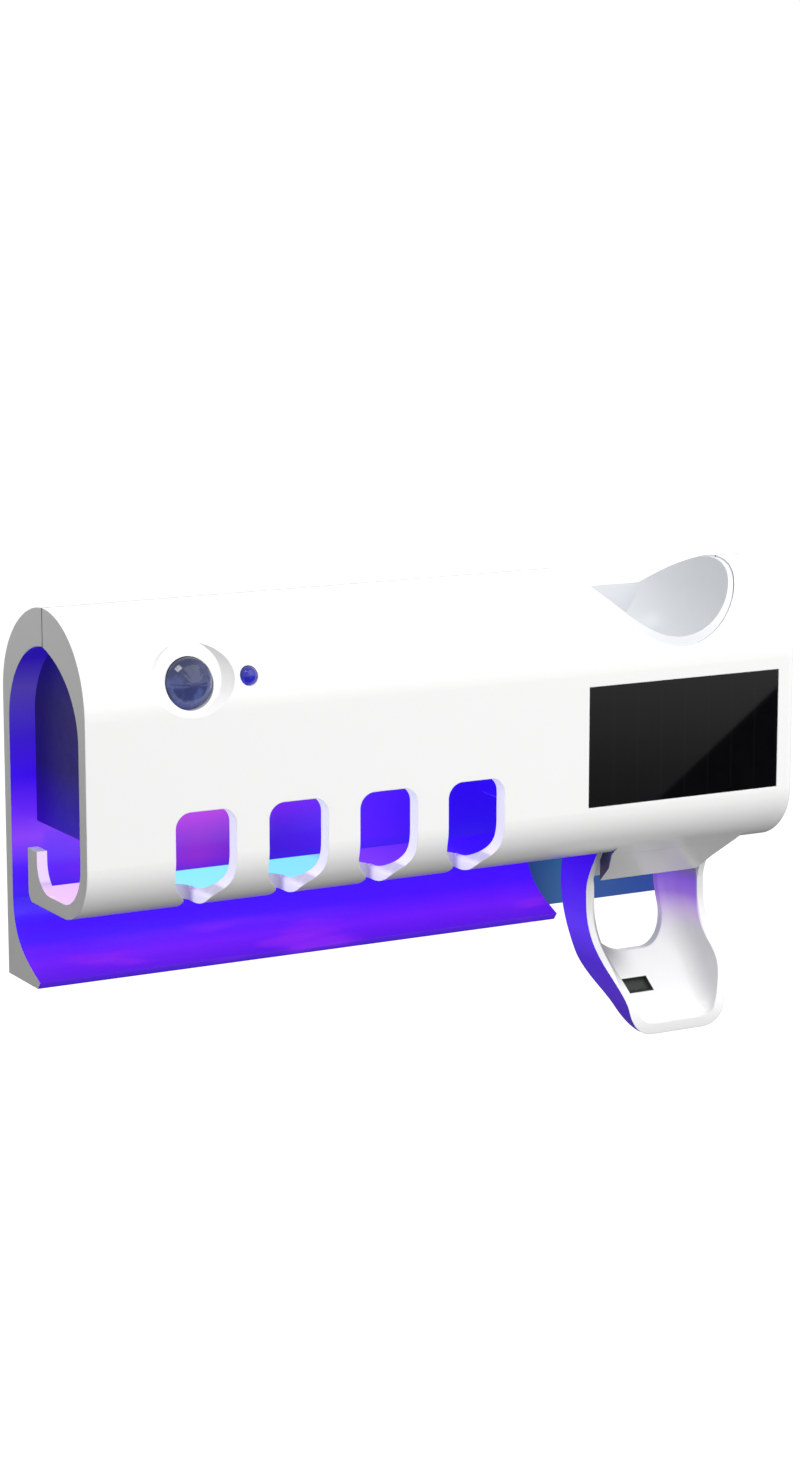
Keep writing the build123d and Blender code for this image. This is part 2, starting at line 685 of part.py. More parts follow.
    # brush slots: a wide window in the front that narrows to a neck through the floor
    for i in range(SLOT_COUNT):
        slot_x = SLOT_FIRST_X + i * SLOT_PITCH
        with BuildSketch(front(NECK_BACK)):
            with BuildLine():
                left = slot_x - SLOT_W / 2
                right = slot_x + SLOT_W / 2
                low = -COVER_DROP - 1
                Polyline(
                    (slot_x - NECK_W / 2, low),
                    (slot_x + NECK_W / 2, low),
                    (slot_x + NECK_W / 2, -NECK_TOP_DROP),
                )
                shoulder_r = Bezier(
                    (slot_x + NECK_W / 2, -NECK_TOP_DROP),
                    (slot_x + NECK_W / 2 + 0.6, -NECK_TOP_DROP + 2.5),
                    (right, -SLOT_SHOULDER_DROP - 6),
                    (right, -SLOT_SHOULDER_DROP),
                )
                Line(shoulder_r @ 1, (right, -SLOT_TOP_DROP - SLOT_TOP_R))
                RadiusArc(
                    (right, -SLOT_TOP_DROP - SLOT_TOP_R),
                    (right - SLOT_TOP_R, -SLOT_TOP_DROP),
                    -SLOT_TOP_R,
                )
                Line((right - SLOT_TOP_R, -SLOT_TOP_DROP), (left + SLOT_TOP_R, -SLOT_TOP_DROP))
                RadiusArc(
                    (left + SLOT_TOP_R, -SLOT_TOP_DROP),
                    (left, -SLOT_TOP_DROP - SLOT_TOP_R),
                    -SLOT_TOP_R,
                )
                Line((left, -SLOT_TOP_DROP - SLOT_TOP_R), (left, -SLOT_SHOULDER_DROP))
                shoulder_l = Bezier(
                    (left, -SLOT_SHOULDER_DROP),
                    (left, -SLOT_SHOULDER_DROP - 6),
                    (slot_x - NECK_W / 2 - 0.6, -NECK_TOP_DROP + 2.5),
                    (slot_x - NECK_W / 2, -NECK_TOP_DROP),
                )
                Line(shoulder_l @ 1, (slot_x - NECK_W / 2, low))
            make_face()
        extrude(amount=DEPTH, mode=Mode.SUBTRACT)
        with BuildSketch(plan(COVER_DROP + 1)):
            with Locations((slot_x, NECK_BACK)):
                Circle(NECK_W / 2)
        extrude(amount=-(FLOOR_T + 2), mode=Mode.SUBTRACT)
    # dished seat for the motion sensor's lens, and the two openings
    dish_lean = math.radians(PIR_DISH_TILT)
    dish_plane = Plane(
        origin=(PIR_X, -PIR_FACE_OUT, TOP - PIR_DROP),
        x_dir=(1, 0, 0),
        z_dir=(0, -math.cos(dish_lean), math.sin(dish_lean)),
    )
    with Locations(dish_plane):
        with Locations((0, PIR_DISH_UP)):
            Cone(
                PIR_DISH_R,
                PIR_DISH_R + PIR_DISH_DEPTH,
                PIR_DISH_DEPTH,
                align=(Align.CENTER, Align.CENTER, Align.MIN),
                mode=Mode.SUBTRACT,
            )
    for hole_x, hole_drop, hole_d in (
        (PIR_X, PIR_DROP, PIR_D + HOLE_FIT),
        (LED_X, LED_DROP, LED_D + HOLE_FIT),
    ):
        with BuildSketch(front(SEAM_OUT)):
            with Locations((hole_x, -hole_drop)):
                Circle(hole_d / 2)
        extrude(amount=DEPTH, mode=Mode.SUBTRACT)
    with BuildSketch(front(SEAM_OUT)):
        with Locations((PIR_X, -PIR_DROP)):
            Circle(PIR_FLANGE_R + CLEAR)
    extrude(amount=PIR_SEAT_OUT - SEAM_OUT, mode=Mode.SUBTRACT)
    # pocket for the solar panel, with a hole for its leads
    with BuildSketch(front(DEPTH - SOLAR_T - TAPE_T)):
        with Locations((SOLAR_X, -SOLAR_DROP)):
            Rectangle(SOLAR_W + 2 * CLEAR, SOLAR_H + 2 * CLEAR)
    extrude(amount=SOLAR_T + TAPE_T + 1, mode=Mode.SUBTRACT)
    with BuildSketch(front(SEAM_OUT)):
        with Locations((SOLAR_X - SOLAR_W / 2 + LEAD_HOLE_IN, -SOLAR_DROP + LEAD_HOLE_IN)):
            Circle(LEAD_HOLE_R)
    extrude(amount=DEPTH, mode=Mode.SUBTRACT)
    # screw bosses
    for bx, drop in SCREW_POINTS:
        with BuildSketch(front(SEAM_OUT)):
            with Locations((bx, -drop)):
                Circle(BOSS_D / 2)
        extrude(amount=DEPTH - COVER_T - SEAM_OUT + 0.5)
        with BuildSketch(front(SEAM_OUT)):
            with Locations((bx, -drop)):
                Circle(SCREW_D / 2 - SCREW_BITE)
        extrude(amount=PILOT_L, mode=Mode.SUBTRACT)
    add(cup_cutter.part, mode=Mode.SUBTRACT)
    add(seam_gap.part, mode=Mode.SUBTRACT)
save(front_cover.part, "front_cover")

# ---- solar panel -----------------------------------------------------------
with BuildPart() as solar_panel:
    with BuildSketch(front(DEPTH - SOLAR_T)):
        with Locations((SOLAR_X, -SOLAR_DROP)):
            Rectangle(SOLAR_W, SOLAR_H)
    extrude(amount=SOLAR_T)
save(solar_panel.part, "solar_panel")

with BuildPart() as solar_tape:
    with BuildSketch(front(DEPTH - SOLAR_T - TAPE_T)):
        with Locations((SOLAR_X, -SOLAR_DROP)):
            Rectangle(SOLAR_W - 1, SOLAR_H - 1)
            Rectangle(SOLAR_W - 24, SOLAR_H - 12, mode=Mode.SUBTRACT)
        with Locations((SOLAR_X - SOLAR_W / 2 + LEAD_HOLE_IN, -SOLAR_DROP + LEAD_HOLE_IN)):
            Circle(LEAD_HOLE_R, mode=Mode.SUBTRACT)
    extrude(amount=TAPE_T)
save(solar_tape.part, "solar_tape")

# ---- partitions across the chamber -----------------------------------------
partition_front = DEPTH - COVER_T - PARTITION_GAP
partition_back = BACK_OUT + SHELL_T + PARTITION_GAP
for partition_x, partition_name in ((LEFT + RING_L, "light_baffle"), (PARTITION_X, "pump_partition")):
    with BuildPart() as partition:
        with BuildSketch(section(partition_x)):
            with BuildLine():
                fore = front_arch(COVER_T + PARTITION_GAP)
                Line(fore @ 1, (partition_front, -BAFFLE_DROP))
                Line((partition_front, -BAFFLE_DROP), (partition_back, -BAFFLE_DROP))
                aft = back_arch(SHELL_T + PARTITION_GAP)
                Line((partition_back, -BAFFLE_DROP), aft @ 1)
                Line(aft @ 0, fore @ 0)
            make_face()
        extrude(amount=-BAFFLE_T)
        for bx, drop in SCREW_POINTS:
            with BuildSketch(front(0)):
                with Locations((bx, -drop)):
                    Circle(BOSS_D / 2 + PARTITION_GAP)
            extrude(amount=DEPTH, mode=Mode.SUBTRACT)
    save(partition.part, partition_name)

# ---- electronics tray and lamp ---------------------------------------------
with BuildPart() as electronics_tray:
    with BuildSketch(plan(TRAY_DROP + TRAY_T)):
        with Locations(((LEFT + RING_L + BAFFLE_T + PARTITION_X) / 2, (TRAY_BACK + TRAY_FRONT) / 2)):
            Rectangle(PARTITION_X - LEFT - RING_L - BAFFLE_T - 2 * CLEAR, TRAY_FRONT - TRAY_BACK)
    extrude(amount=-TRAY_T)
    # wire hole, and room for the bracket's hooks
    with BuildSketch(plan(TRAY_DROP + TRAY_T)):
        with Locations((BOARD_LEFT + 6, SEAM_OUT)):
            Circle(WIRE_HOLE_R)
        with Locations((-HOOK_X, PRONG_OUT - 0.4), (HOOK_X, PRONG_OUT - 0.4)):
            Rectangle(HOOK_W + 4, 6)
    extrude(amount=-TRAY_T, mode=Mode.SUBTRACT)
save(electronics_tray.part, "electronics_tray")

with BuildPart() as reflector:
    with BuildSketch(section(LAMP_X - LAMP_L / 2 + SOCKET_L)):
        with BuildLine():
            CenterArc((LAMP_OUT, -LAMP_DROP), REFLECTOR_R, REFLECTOR_FROM, REFLECTOR_SWEEP)
            CenterArc((LAMP_OUT, -LAMP_DROP), REFLECTOR_R - REFLECTOR_T, REFLECTOR_FROM, REFLECTOR_SWEEP)
            for angle in (REFLECTOR_FROM, REFLECTOR_FROM + REFLECTOR_SWEEP):
                Line(
                    (
                        LAMP_OUT + REFLECTOR_R * math.cos(math.radians(angle)),
                        -LAMP_DROP + REFLECTOR_R * math.sin(math.radians(angle)),
                    ),
                    (
                        LAMP_OUT + (REFLECTOR_R - REFLECTOR_T) * math.cos(math.radians(angle)),
                        -LAMP_DROP + (REFLECTOR_R - REFLECTOR_T) * math.sin(math.radians(angle)),
                    ),
                )
        make_face()
    extrude(amount=-(LAMP_L - 2 * SOCKET_L))
save(reflector.part, "reflector")

with BuildPart() as uv_lamp:
    with BuildSketch(section(LAMP_X - LAMP_L / 2)):
        with Locations((LAMP_OUT, -LAMP_DROP)):
            Circle(LAMP_R)
    extrude(amount=-LAMP_L)
    fillet(uv_lamp.edges().filter_by(GeomType.CIRCLE), LAMP_END_R)
save(uv_lamp.part, "uv_lamp")

for side, socket_name in ((-1, "lamp_socket_left"), (1, "lamp_socket_right")):
    with BuildPart() as lamp_socket:
        socket_x = LAMP_X + side * (LAMP_L / 2 - SOCKET_L / 2 + 1.5)
        with BuildSketch(section(socket_x - SOCKET_L / 2)):
            with BuildLine():
                Polyline(
                    (LAMP_OUT - SOCKET_HALF, -TRAY_DROP - TRAY_T),
                    (LAMP_OUT + SOCKET_HALF, -TRAY_DROP - TRAY_T),
                    (LAMP_OUT + SOCKET_HALF - 1, -LAMP_DROP - SOCKET_HALF + 1),
                    (LAMP_OUT - SOCKET_HALF + 1, -LAMP_DROP - SOCKET_HALF + 1),
                    close=True,
                )
            make_face()
        extrude(amount=-SOCKET_L)
        with BuildSketch(section(LAMP_X - LAMP_L / 2 - LAMP_FIT)):
            with Locations((LAMP_OUT, -LAMP_DROP)):
                Circle(LAMP_R + LAMP_FIT)
        extrude(amount=-(LAMP_L + 2 * LAMP_FIT), mode=Mode.SUBTRACT)
    save(lamp_socket.part, socket_name)

# ---- control board, sensor and light ---------------------------------------
with BuildPart() as control_board:
    with BuildSketch(front(BOARD_OUT)):
        with Locations(((BOARD_LEFT + BOARD_RIGHT) / 2, -(BOARD_TOP_DROP + BOARD_LOW_DROP) / 2)):
            RectangleRounded(BOARD_RIGHT - BOARD_LEFT, BOARD_LOW_DROP - BOARD_TOP_DROP, 1)
    extrude(amount=BOARD_T)
save(control_board.part, "control_board")

with BuildPart() as board_components:
    # controller chip, capacitors and the lamp's transformer, on the board's back
    with BuildSketch(front(BOARD_OUT)):
        with Locations((BOARD_LEFT + 15, -BOARD_LOW_DROP + 10)):
            Rectangle(CHIP_W, CHIP_W)
    extrude(amount=-CHIP_T)
    with BuildSketch(front(BOARD_OUT)):
        with Locations((BOARD_RIGHT - 27, -BOARD_TOP_DROP - 7), (BOARD_RIGHT - 20, -BOARD_TOP_DROP - 7)):
            Circle(CAPACITOR_R)
    extrude(amount=-CAPACITOR_L)
    with BuildSketch(front(BOARD_OUT)):
        with Locations((BOARD_RIGHT - 10, -BOARD_LOW_DROP + 11)):
            Rectangle(TRANSFORMER_W, TRANSFORMER_H)
    extrude(amount=-TRANSFORMER_T)
save(board_components.part, "board_components")

with BuildPart() as pir_sensor:
    with BuildSketch(front(BOARD_OUT + BOARD_T)):
        with Locations((PIR_X, -PIR_DROP)):
            Circle(PIR_BRIM_R)
    extrude(amount=PIR_BRIM_T)
    with BuildSketch(front(BOARD_OUT + BOARD_T)):
        with Locations((PIR_X, -PIR_DROP)):
            Circle(PIR_CAN_R)
    extrude(amount=PIR_CAN_L)
save(pir_sensor.part, "pir_sensor")

dome_rise = PIR_DOME_R - math.sqrt(PIR_DOME_R**2 - (PIR_D / 2) ** 2)
with BuildPart() as pir_lens:
    with BuildSketch(Plane(origin=(PIR_X, 0, TOP - PIR_DROP), x_dir=(1, 0, 0), z_dir=(0, 0, -1))):
        with BuildLine():
            rim = PIR_D / 2
            Line((0, PIR_FACE_OUT + dome_rise), (0, PIR_FACE_OUT + dome_rise - LENS_WALL))
            Line((0, PIR_FACE_OUT + dome_rise - LENS_WALL), (rim - LENS_WALL, PIR_FACE_OUT - 0.2))
            Polyline(
                (rim - LENS_WALL, PIR_FACE_OUT - 0.2),
                (rim - LENS_WALL, PIR_SEAT_OUT - LENS_WALL),
                (PIR_FLANGE_R, PIR_SEAT_OUT - LENS_WALL),
                (PIR_FLANGE_R, PIR_SEAT_OUT),
                (rim, PIR_SEAT_OUT),
                (rim, PIR_FACE_OUT),
            )
            RadiusArc((rim, PIR_FACE_OUT), (0, PIR_FACE_OUT + dome_rise), -PIR_DOME_R)
        make_face()
    revolve(axis=Axis((PIR_X, 0, TOP - PIR_DROP), (0, 1, 0)))
save(pir_lens.part, "pir_lens")

with BuildPart() as indicator_led:
    led_body_out = LED_BACK_OUT + LED_BRIM_T
    for led_r, led_from, led_to in (
        (LED_BRIM_R, LED_BACK_OUT, led_body_out),
        (LED_D / 2, led_body_out, LED_TIP_OUT),
    ):
        with BuildSketch(front(led_from)):
            with Locations((LED_X, -LED_DROP)):
                Circle(led_r)
        extrude(amount=led_to - led_from)
    fillet(indicator_led.edges().sort_by(Axis.Y)[0], LED_D / 2 - 0.1)
    # two leads down to the board
    with BuildSketch(front(BOARD_OUT + BOARD_T)):
        with Locations(
            (LED_X - LED_LEAD_PITCH / 2, -LED_DROP),
            (LED_X + LED_LEAD_PITCH / 2, -LED_DROP),
        ):
            Rectangle(LED_LEAD_W, LED_LEAD_W)
    extrude(amount=LED_BACK_OUT - BOARD_OUT - BOARD_T)
save(indicator_led.part, "indicator_led")

# ---- battery ---------------------------------------------------------------
with BuildPart() as battery_cell:
    with BuildSketch(section(CELL_X - CELL_L / 2)):
        with Locations((CELL_OUT, -CELL_DROP)):
            Circle(CELL_R)
    extrude(amount=-CELL_L)
    fillet(battery_cell.edges().filter_by(GeomType.CIRCLE), CELL_EDGE_R)
save(battery_cell.part, "battery_cell")

with BuildPart() as battery_holder:
    with BuildSketch(section(CELL_X - CELL_L / 2 - HOLDER_END_T)):
        with BuildLine():
            Polyline(
                (CELL_OUT - CELL_R - HOLDER_WALL, -CELL_DROP - 1),
                (CELL_OUT + CELL_R + HOLDER_WALL, -CELL_DROP - 1),
                (CELL_OUT + CELL_R + HOLDER_WALL, -TRAY_DROP),
                (CELL_OUT - CELL_R - HOLDER_WALL, -TRAY_DROP),
                close=True,
            )
        make_face()
    extrude(amount=-(CELL_L + 2 * HOLDER_END_T))
    with BuildSketch(section(CELL_X - CELL_L / 2 - CONTACT_GAP)):
        with Locations((CELL_OUT, -CELL_DROP)):
            Circle(CELL_R + CLEAR)
    extrude(amount=-(CELL_L + 2 * CONTACT_GAP), mode=Mode.SUBTRACT)
    # cored out from below
    with BuildSketch(plan(TRAY_DROP)):
        with Locations((CELL_X - 16, CELL_OUT), (CELL_X + 16, CELL_OUT)):
            Rectangle(HOLDER_CORE[0], HOLDER_CORE[1])
    extrude(amount=-HOLDER_CORE[2], mode=Mode.SUBTRACT)
save(battery_holder.part, "battery_holder")

with BuildPart() as battery_contacts:
    for side in (-1, 1):
        contact_x = CELL_X + side * (CELL_L / 2 + CONTACT_GAP / 2)
        with BuildSketch(section(contact_x - CONTACT_T / 2)):
            with Locations((CELL_OUT, -CELL_DROP - 2)):
                Rectangle(8, 6)
        extrude(amount=-CONTACT_T)
save(battery_contacts.part, "battery_contacts")

# ---- inlet and power switch at the right end -------------------------------
with BuildPart() as port_board:
    with BuildSketch(section(PORT_BOARD_X)):
        with Locations((PORT_OUT, -(SWITCH_DROP + USB_DROP) / 2)):
            Rectangle(17, 22)
    extrude(amount=-BOARD_T)
save(port_board.part, "port_board")

with BuildPart() as usb_port:
    with BuildSketch(port_plane(PORT_BOARD_X + BOARD_T, USB_DROP)):
        RectangleRounded(USB_W, USB_H, 1.3)
    extrude(amount=RIGHT - 0.6 - PORT_BOARD_X - BOARD_T)
    with BuildSketch(port_plane(PORT_BOARD_X + BOARD_T + USB_BASE_T, USB_DROP)):
        RectangleRounded(USB_W - 2 * USB_WALL, USB_H - 2 * USB_WALL, 1.1)
    extrude(amount=RIGHT, mode=Mode.SUBTRACT)
save(usb_port.part, "usb_port")

with BuildPart() as usb_tongue:
    with BuildSketch(port_plane(PORT_BOARD_X + BOARD_T + USB_BASE_T, USB_DROP)):
        Rectangle(USB_W - 2.2, TONGUE_T)
    extrude(amount=RIGHT - 1.4 - PORT_BOARD_X - BOARD_T - USB_BASE_T)
save(usb_tongue.part, "usb_tongue")

with BuildPart() as switch_body:
    with BuildSketch(port_plane(PORT_BOARD_X + BOARD_T, SWITCH_DROP)):
        Rectangle(SWITCH_W, SWITCH_LEN)
    extrude(amount=SWITCH_BODY_T)
    with BuildSketch(port_plane(PORT_BOARD_X + BOARD_T + SWITCH_FLOOR_T, SWITCH_DROP)):
        Rectangle(KNOB_W + 2 * CLEAR, SWITCH_TRAVEL + KNOB_H + 0.6)
    extrude(amount=SWITCH_BODY_T, mode=Mode.SUBTRACT)
save(switch_body.part, "switch_body")

knob_back_x = PORT_BOARD_X + BOARD_T + SWITCH_FLOOR_T + CLEAR
with BuildPart() as switch_slider:
    with BuildSketch(port_plane(knob_back_x, SWITCH_DROP + SWITCH_TRAVEL / 2)):
        RectangleRounded(KNOB_W, KNOB_H, 0.4)
    extrude(amount=RIGHT + KNOB_PROUD - knob_back_x)
    # grip ridges on the knob's end
    for ridge in (-1, 0, 1):
        ridge_drop = SWITCH_DROP + SWITCH_TRAVEL / 2 - ridge * RIDGE_PITCH
        with BuildSketch(port_plane(RIGHT + KNOB_PROUD, ridge_drop)):
            Rectangle(KNOB_W - RIDGE_T, RIDGE_T)
        extrude(amount=RIDGE_T)
save(switch_slider.part, "switch_slider")

# ---- screws ----------------------------------------------------------------
with BuildPart() as case_screws:
    for bx, drop in SCREW_POINTS:
        with BuildSketch(front(HEAD_SEAT_OUT)):
            with Locations((bx, -drop)):
                Circle(SCREW_D / 2 - SCREW_BITE)
        extrude(amount=SCREW_L)
        with BuildSketch(front(HEAD_SEAT_OUT)):
            with Locations((bx, -drop)):
                Circle(SCREW_HEAD_D / 2)
        extrude(amount=-SCREW_HEAD_T)
        # cross recess
        with BuildSketch(front(HEAD_SEAT_OUT - SCREW_HEAD_T)):
            with Locations((bx, -drop)):
                Rectangle(RECESS_L, RECESS_W)
                Rectangle(RECESS_W, RECESS_L)
        extrude(amount=RECESS_T, mode=Mode.SUBTRACT)
save(case_screws.part, "case_screws")

# ---- tube cup and its grip -------------------------------------------------
with BuildPart() as housing_body:
    with BuildSketch(section(LEFT)):
        with BuildLine():
            housing_outline(0.4)
        make_face()
    extrude(amount=-WIDTH)

with BuildPart() as tube_cup:
    with BuildSketch(CUP_PLANE):
        with BuildLine():
            cup_profile(0)
        make_face()
    revolve(axis=CUP_AXIS)
    with BuildSketch(CUP_PLANE):
        with BuildLine():
            cup_profile(-CUP_WALL)
        make_face()
    revolve(axis=CUP_AXIS, mode=Mode.SUBTRACT)
    split(bisect_by=Plane(origin=(0, -CUP_BACK_OUT, 0), z_dir=(0, -1, 0)))
    # flat rear wall of the cup
    with BuildSketch(CUP_PLANE):
        with BuildLine():
            cup_profile(-0.1)
        make_face()
    rear = revolve(axis=CUP_AXIS, mode=Mode.PRIVATE)
    with BuildSketch(front(CUP_BACK_OUT)):
        with Locations((CUP_X, -15)):
            Rectangle(70, 50)
    slab = extrude(amount=CUP_WALL, mode=Mode.PRIVATE)
    add(rear.intersect(slab))
    add(housing_body.part, mode=Mode.INTERSECT)
    with BuildSketch(plan(CUP_DROP + 4)):
        with Locations((PUMP_X, ADAPTER_OUT)):
            Circle(SOCKET_R)
    extrude(amount=-8, mode=Mode.SUBTRACT)
save(tube_cup.part, "tube_cup")

with BuildPart() as tube_adapter:
    with BuildSketch(plan(CUP_DROP - CUP_WALL)):
        with Locations((PUMP_X, ADAPTER_OUT)):
            Circle(ADAPTER_FLANGE_R)
    extrude(amount=-ADAPTER_FLANGE_T)
    with BuildSketch(plan(CUP_DROP - CUP_WALL)):
        with Locations((PUMP_X, ADAPTER_OUT)):
            Circle(ADAPTER_NECK_R)
    extrude(amount=ADAPTER_L)
    fillet(tube_adapter.edges().filter_by(GeomType.CIRCLE).sort_by(Axis.Z)[-1], 1.0)
    with BuildSketch(plan(CUP_DROP + 10)):
        with Locations((PUMP_X, ADAPTER_OUT)):
            Circle(ADAPTER_BORE_R)
    extrude(amount=-16, mode=Mode.SUBTRACT)
save(tube_adapter.part, "tube_adapter")

# ---- paste pump ------------------------------------------------------------
with BuildPart() as pump_body:
    # upright duct under the cup
    with BuildSketch(plan(CUP_DROP + 0.2)):
        with Locations((PUMP_X, PUMP_OUT - 1)):
            Rectangle(19, 17)
    extrude(amount=76 - CUP_DROP - 0.2)
    # foot that carries the paste back over the lever
    with BuildSketch(plan(75)):
        with Locations((PUMP_X, 34)):
            Rectangle(14, 18.4)
    extrude(amount=7)
    # flange and guide rods for the plunger
    with BuildSketch(front(PUMP_FLANGE_BACK)):
        with Locations((PUMP_X, -BELLOWS_DROP)):
            RectangleRounded(PUMP_FLANGE_W, PUMP_FLANGE_H, 2)
    extrude(amount=2.6)
    with BuildSketch(front(ROD_BACK_OUT)):
        with Locations((PUMP_X, -BELLOWS_DROP + ROD_SPREAD / 2), (PUMP_X, -BELLOWS_DROP - ROD_SPREAD / 2)):
            Circle(ROD_D / 2)
    extrude(amount=14)
    # socket for the adapter, the paste's bore and the side port
    with BuildSketch(plan(CUP_DROP)):
        with Locations((PUMP_X, ADAPTER_OUT)):
            Circle(SOCKET_R)
    extrude(amount=ADAPTER_L - CUP_WALL + 0.4, mode=Mode.SUBTRACT)
    with BuildSketch(plan(CUP_DROP)):
        with Locations((PUMP_X, ADAPTER_OUT)):
            Circle(BORE_R)
    extrude(amount=48, mode=Mode.SUBTRACT)
    with BuildSketch(front(PUMP_OUT - 12)):
        with Locations((PUMP_X, -BELLOWS_DROP)):
            Circle(3)
    extrude(amount=10, mode=Mode.SUBTRACT)
    with BuildSketch(front(27.5)):
        with Locations((PUMP_X, -78.5)):
            Circle(PORT_R)
    extrude(amount=6, mode=Mode.SUBTRACT)
    with BuildSketch(plan(77)):
        with Locations((PUMP_X, OUTLET_OUT)):
            Circle(PORT_R)
    extrude(amount=6, mode=Mode.SUBTRACT)
save(pump_body.part, "pump_body")

with BuildPart() as check_valve:
    with BuildSketch(plan(44)):
        with Locations((PUMP_X, ADAPTER_OUT)):
            Circle(3.3)
            Circle(0.8, mode=Mode.SUBTRACT)
    extrude(amount=1.0)
save(check_valve.part, "check_valve")

# silicone bellows: three folds between the plunger and the pump's flange
bellows_back = PLUNGER_OUT + PLUNGER_T + 0.05
bellows_front = PUMP_FLANGE_BACK - 0.05
fold = (bellows_front - bellows_back) / (2 * BELLOWS_FOLDS)
with BuildPart() as pump_bellows:
    with BuildSketch(Plane(origin=(PUMP_X, 0, TOP - BELLOWS_DROP), x_dir=(1, 0, 0), z_dir=(0, 0, -1))):
        with BuildLine():
            radii = [BELLOWS_OUTER_R if i % 2 else BELLOWS_INNER_R for i in range(2 * BELLOWS_FOLDS + 1)]
            skin = [(r, bellows_back + i * fold) for i, r in enumerate(radii)]
            lining = [(r - BELLOWS_WALL, out) for r, out in skin]
            Polyline(*skin)
            Line(skin[-1], lining[-1])
            Polyline(*lining[::-1])
            Line(lining[0], skin[0])
        make_face()
    revolve(axis=Axis((PUMP_X, 0, TOP - BELLOWS_DROP), (0, 1, 0)))
save(pump_bellows.part, "pump_bellows")

with BuildPart() as plunger:
    with BuildSketch(front(PLUNGER_OUT)):
        with Locations((PUMP_X, -BELLOWS_DROP)):
            RectangleRounded(PUMP_FLANGE_W, PUMP_FLANGE_H, 2)
        with Locations((PUMP_X, -BELLOWS_DROP + ROD_SPREAD / 2), (PUMP_X, -BELLOWS_DROP - ROD_SPREAD / 2)):
            Circle(ROD_D / 2 + 0.1, mode=Mode.SUBTRACT)
    extrude(amount=PLUNGER_T)
save(plunger.part, "plunger")

with BuildPart() as nozzle:
    with BuildSketch(plan(NOZZLE_TOP_DROP)):
        with Locations((PUMP_X, OUTLET_OUT)):
            Circle(3.4)
    extrude(amount=NOZZLE_FLANGE_T)
    with BuildSketch(plan(NOZZLE_TOP_DROP + NOZZLE_FLANGE_T)):
        with Locations((PUMP_X, OUTLET_OUT)):
            Circle(2.8)
    extrude(amount=6, taper=12)
    with BuildSketch(plan(NOZZLE_TOP_DROP - BEHIND)):
        with Locations((PUMP_X, OUTLET_OUT)):
            Circle(1.2)
    extrude(amount=12, mode=Mode.SUBTRACT)
save(nozzle.part, "nozzle")

# ---- push lever ------------------------------------------------------------
# rim and back curves of the scoop, as distance out and drop
RIM_POINTS = [
    (27.6, 90.0),
    (29.2, 97.0),
    (29.5, 103.0),
    (33.5, 112.0),
    (42.3, 120.0),
    (46.4, 127.0),
    (47.6, 138.0),
]
BACK_POINTS = [
    (15.6, 90.0),
    (15.7, 101.5),
    (22.5, 115.0),
    (32.9, 125.5),
    (41.0, 131.5),
    (47.6, 138.0),
]
# front edge of the cheeks above the rim, and how far back into the arms they run
CHEEK_POINTS = [(29.2, 97.0), (30.1, 93.2), (32.3, 88.9), (35.4, 83.8)]
CHEEK_BACK = 26.0


def lever_side(back_shift, reach):
    """Side profile of the scoop: its back moved out by back_shift, its rim by reach."""
    rim_pts = [(out + reach, -drop) for out, drop in RIM_POINTS]
    back_top = [(out + back_shift, -drop) for out, drop in BACK_POINTS[:2]]
    back_low = [(out + back_shift * 0.75, -drop + back_shift * 0.66) for out, drop in BACK_POINTS[2:]]
    back_pts = back_top + back_low
    Spline(*rim_pts)
    Spline(*back_pts)
    Line(rim_pts[0], back_pts[0])
    if reach:
        Line(rim_pts[-1], back_pts[-1])


def lever_face(shrink):
    """Front outline of the scoop, moved in by shrink: straight sides that draw in to a round tip."""
    half = LEVER_W / 2 - shrink
    waist = half - WAIST_IN
    foot = half - FOOT_IN
    low = -LEVER_LOW_DROP + shrink
    Polyline(
        (LEVER_X - half, -SIDE_DROP),
        (LEVER_X - half, -LEVER_TOP_CUT),
        (LEVER_X + half, -LEVER_TOP_CUT),
        (LEVER_X + half, -SIDE_DROP),
    )
    for side in (-1, 1):
        Bezier(
            (LEVER_X + side * half, -SIDE_DROP),
            (LEVER_X + side * half, -SIDE_DROP - 5),
            (LEVER_X + side * (waist + 0.4), -WAIST_DROP + 4),
            (LEVER_X + side * waist, -WAIST_DROP),
        )
        Bezier(
            (LEVER_X + side * waist, -WAIST_DROP),
            (LEVER_X + side * (waist - 0.4), -WAIST_DROP - 4),
            (LEVER_X + side * (foot + 4.5), low),
            (LEVER_X + side * foot, low),
        )
    Line((LEVER_X + foot, low), (LEVER_X - foot, low))


with BuildPart() as lever_hollow:
    with BuildSketch(section(LEVER_X - LEVER_W / 2)):
        with BuildLine():
            lever_side(LEVER_T, HOLLOW_REACH)
        make_face()
    extrude(amount=-LEVER_W)
    with BuildSketch(front(0)):
        with BuildLine():
            lever_face(LEVER_RIM_T)
        make_face()
    extrude(amount=DEPTH + 15, mode=Mode.INTERSECT)
    scoop_back = lever_hollow.faces().sort_by(Axis.Y)[-1]
    scoop_corner = scoop_back.edges().sort_by(Axis.Z)[:-1]
    fillet(scoop_corner, SCOOP_R)

# blind recess in the scoop's back
with BuildPart() as drain_recess:
    with BuildSketch(section(LEVER_X - LEVER_W / 2)):
        with BuildLine():
            lever_side(DRAIN_SKIN, HOLLOW_REACH)
        make_face()
    extrude(amount=-LEVER_W)
    with BuildSketch(front(0)):
        with Locations((LEVER_X - DRAIN_IN, -DRAIN_DROP)):
            Rectangle(DRAIN_W, DRAIN_H)
    extrude(amount=DEPTH, mode=Mode.INTERSECT)

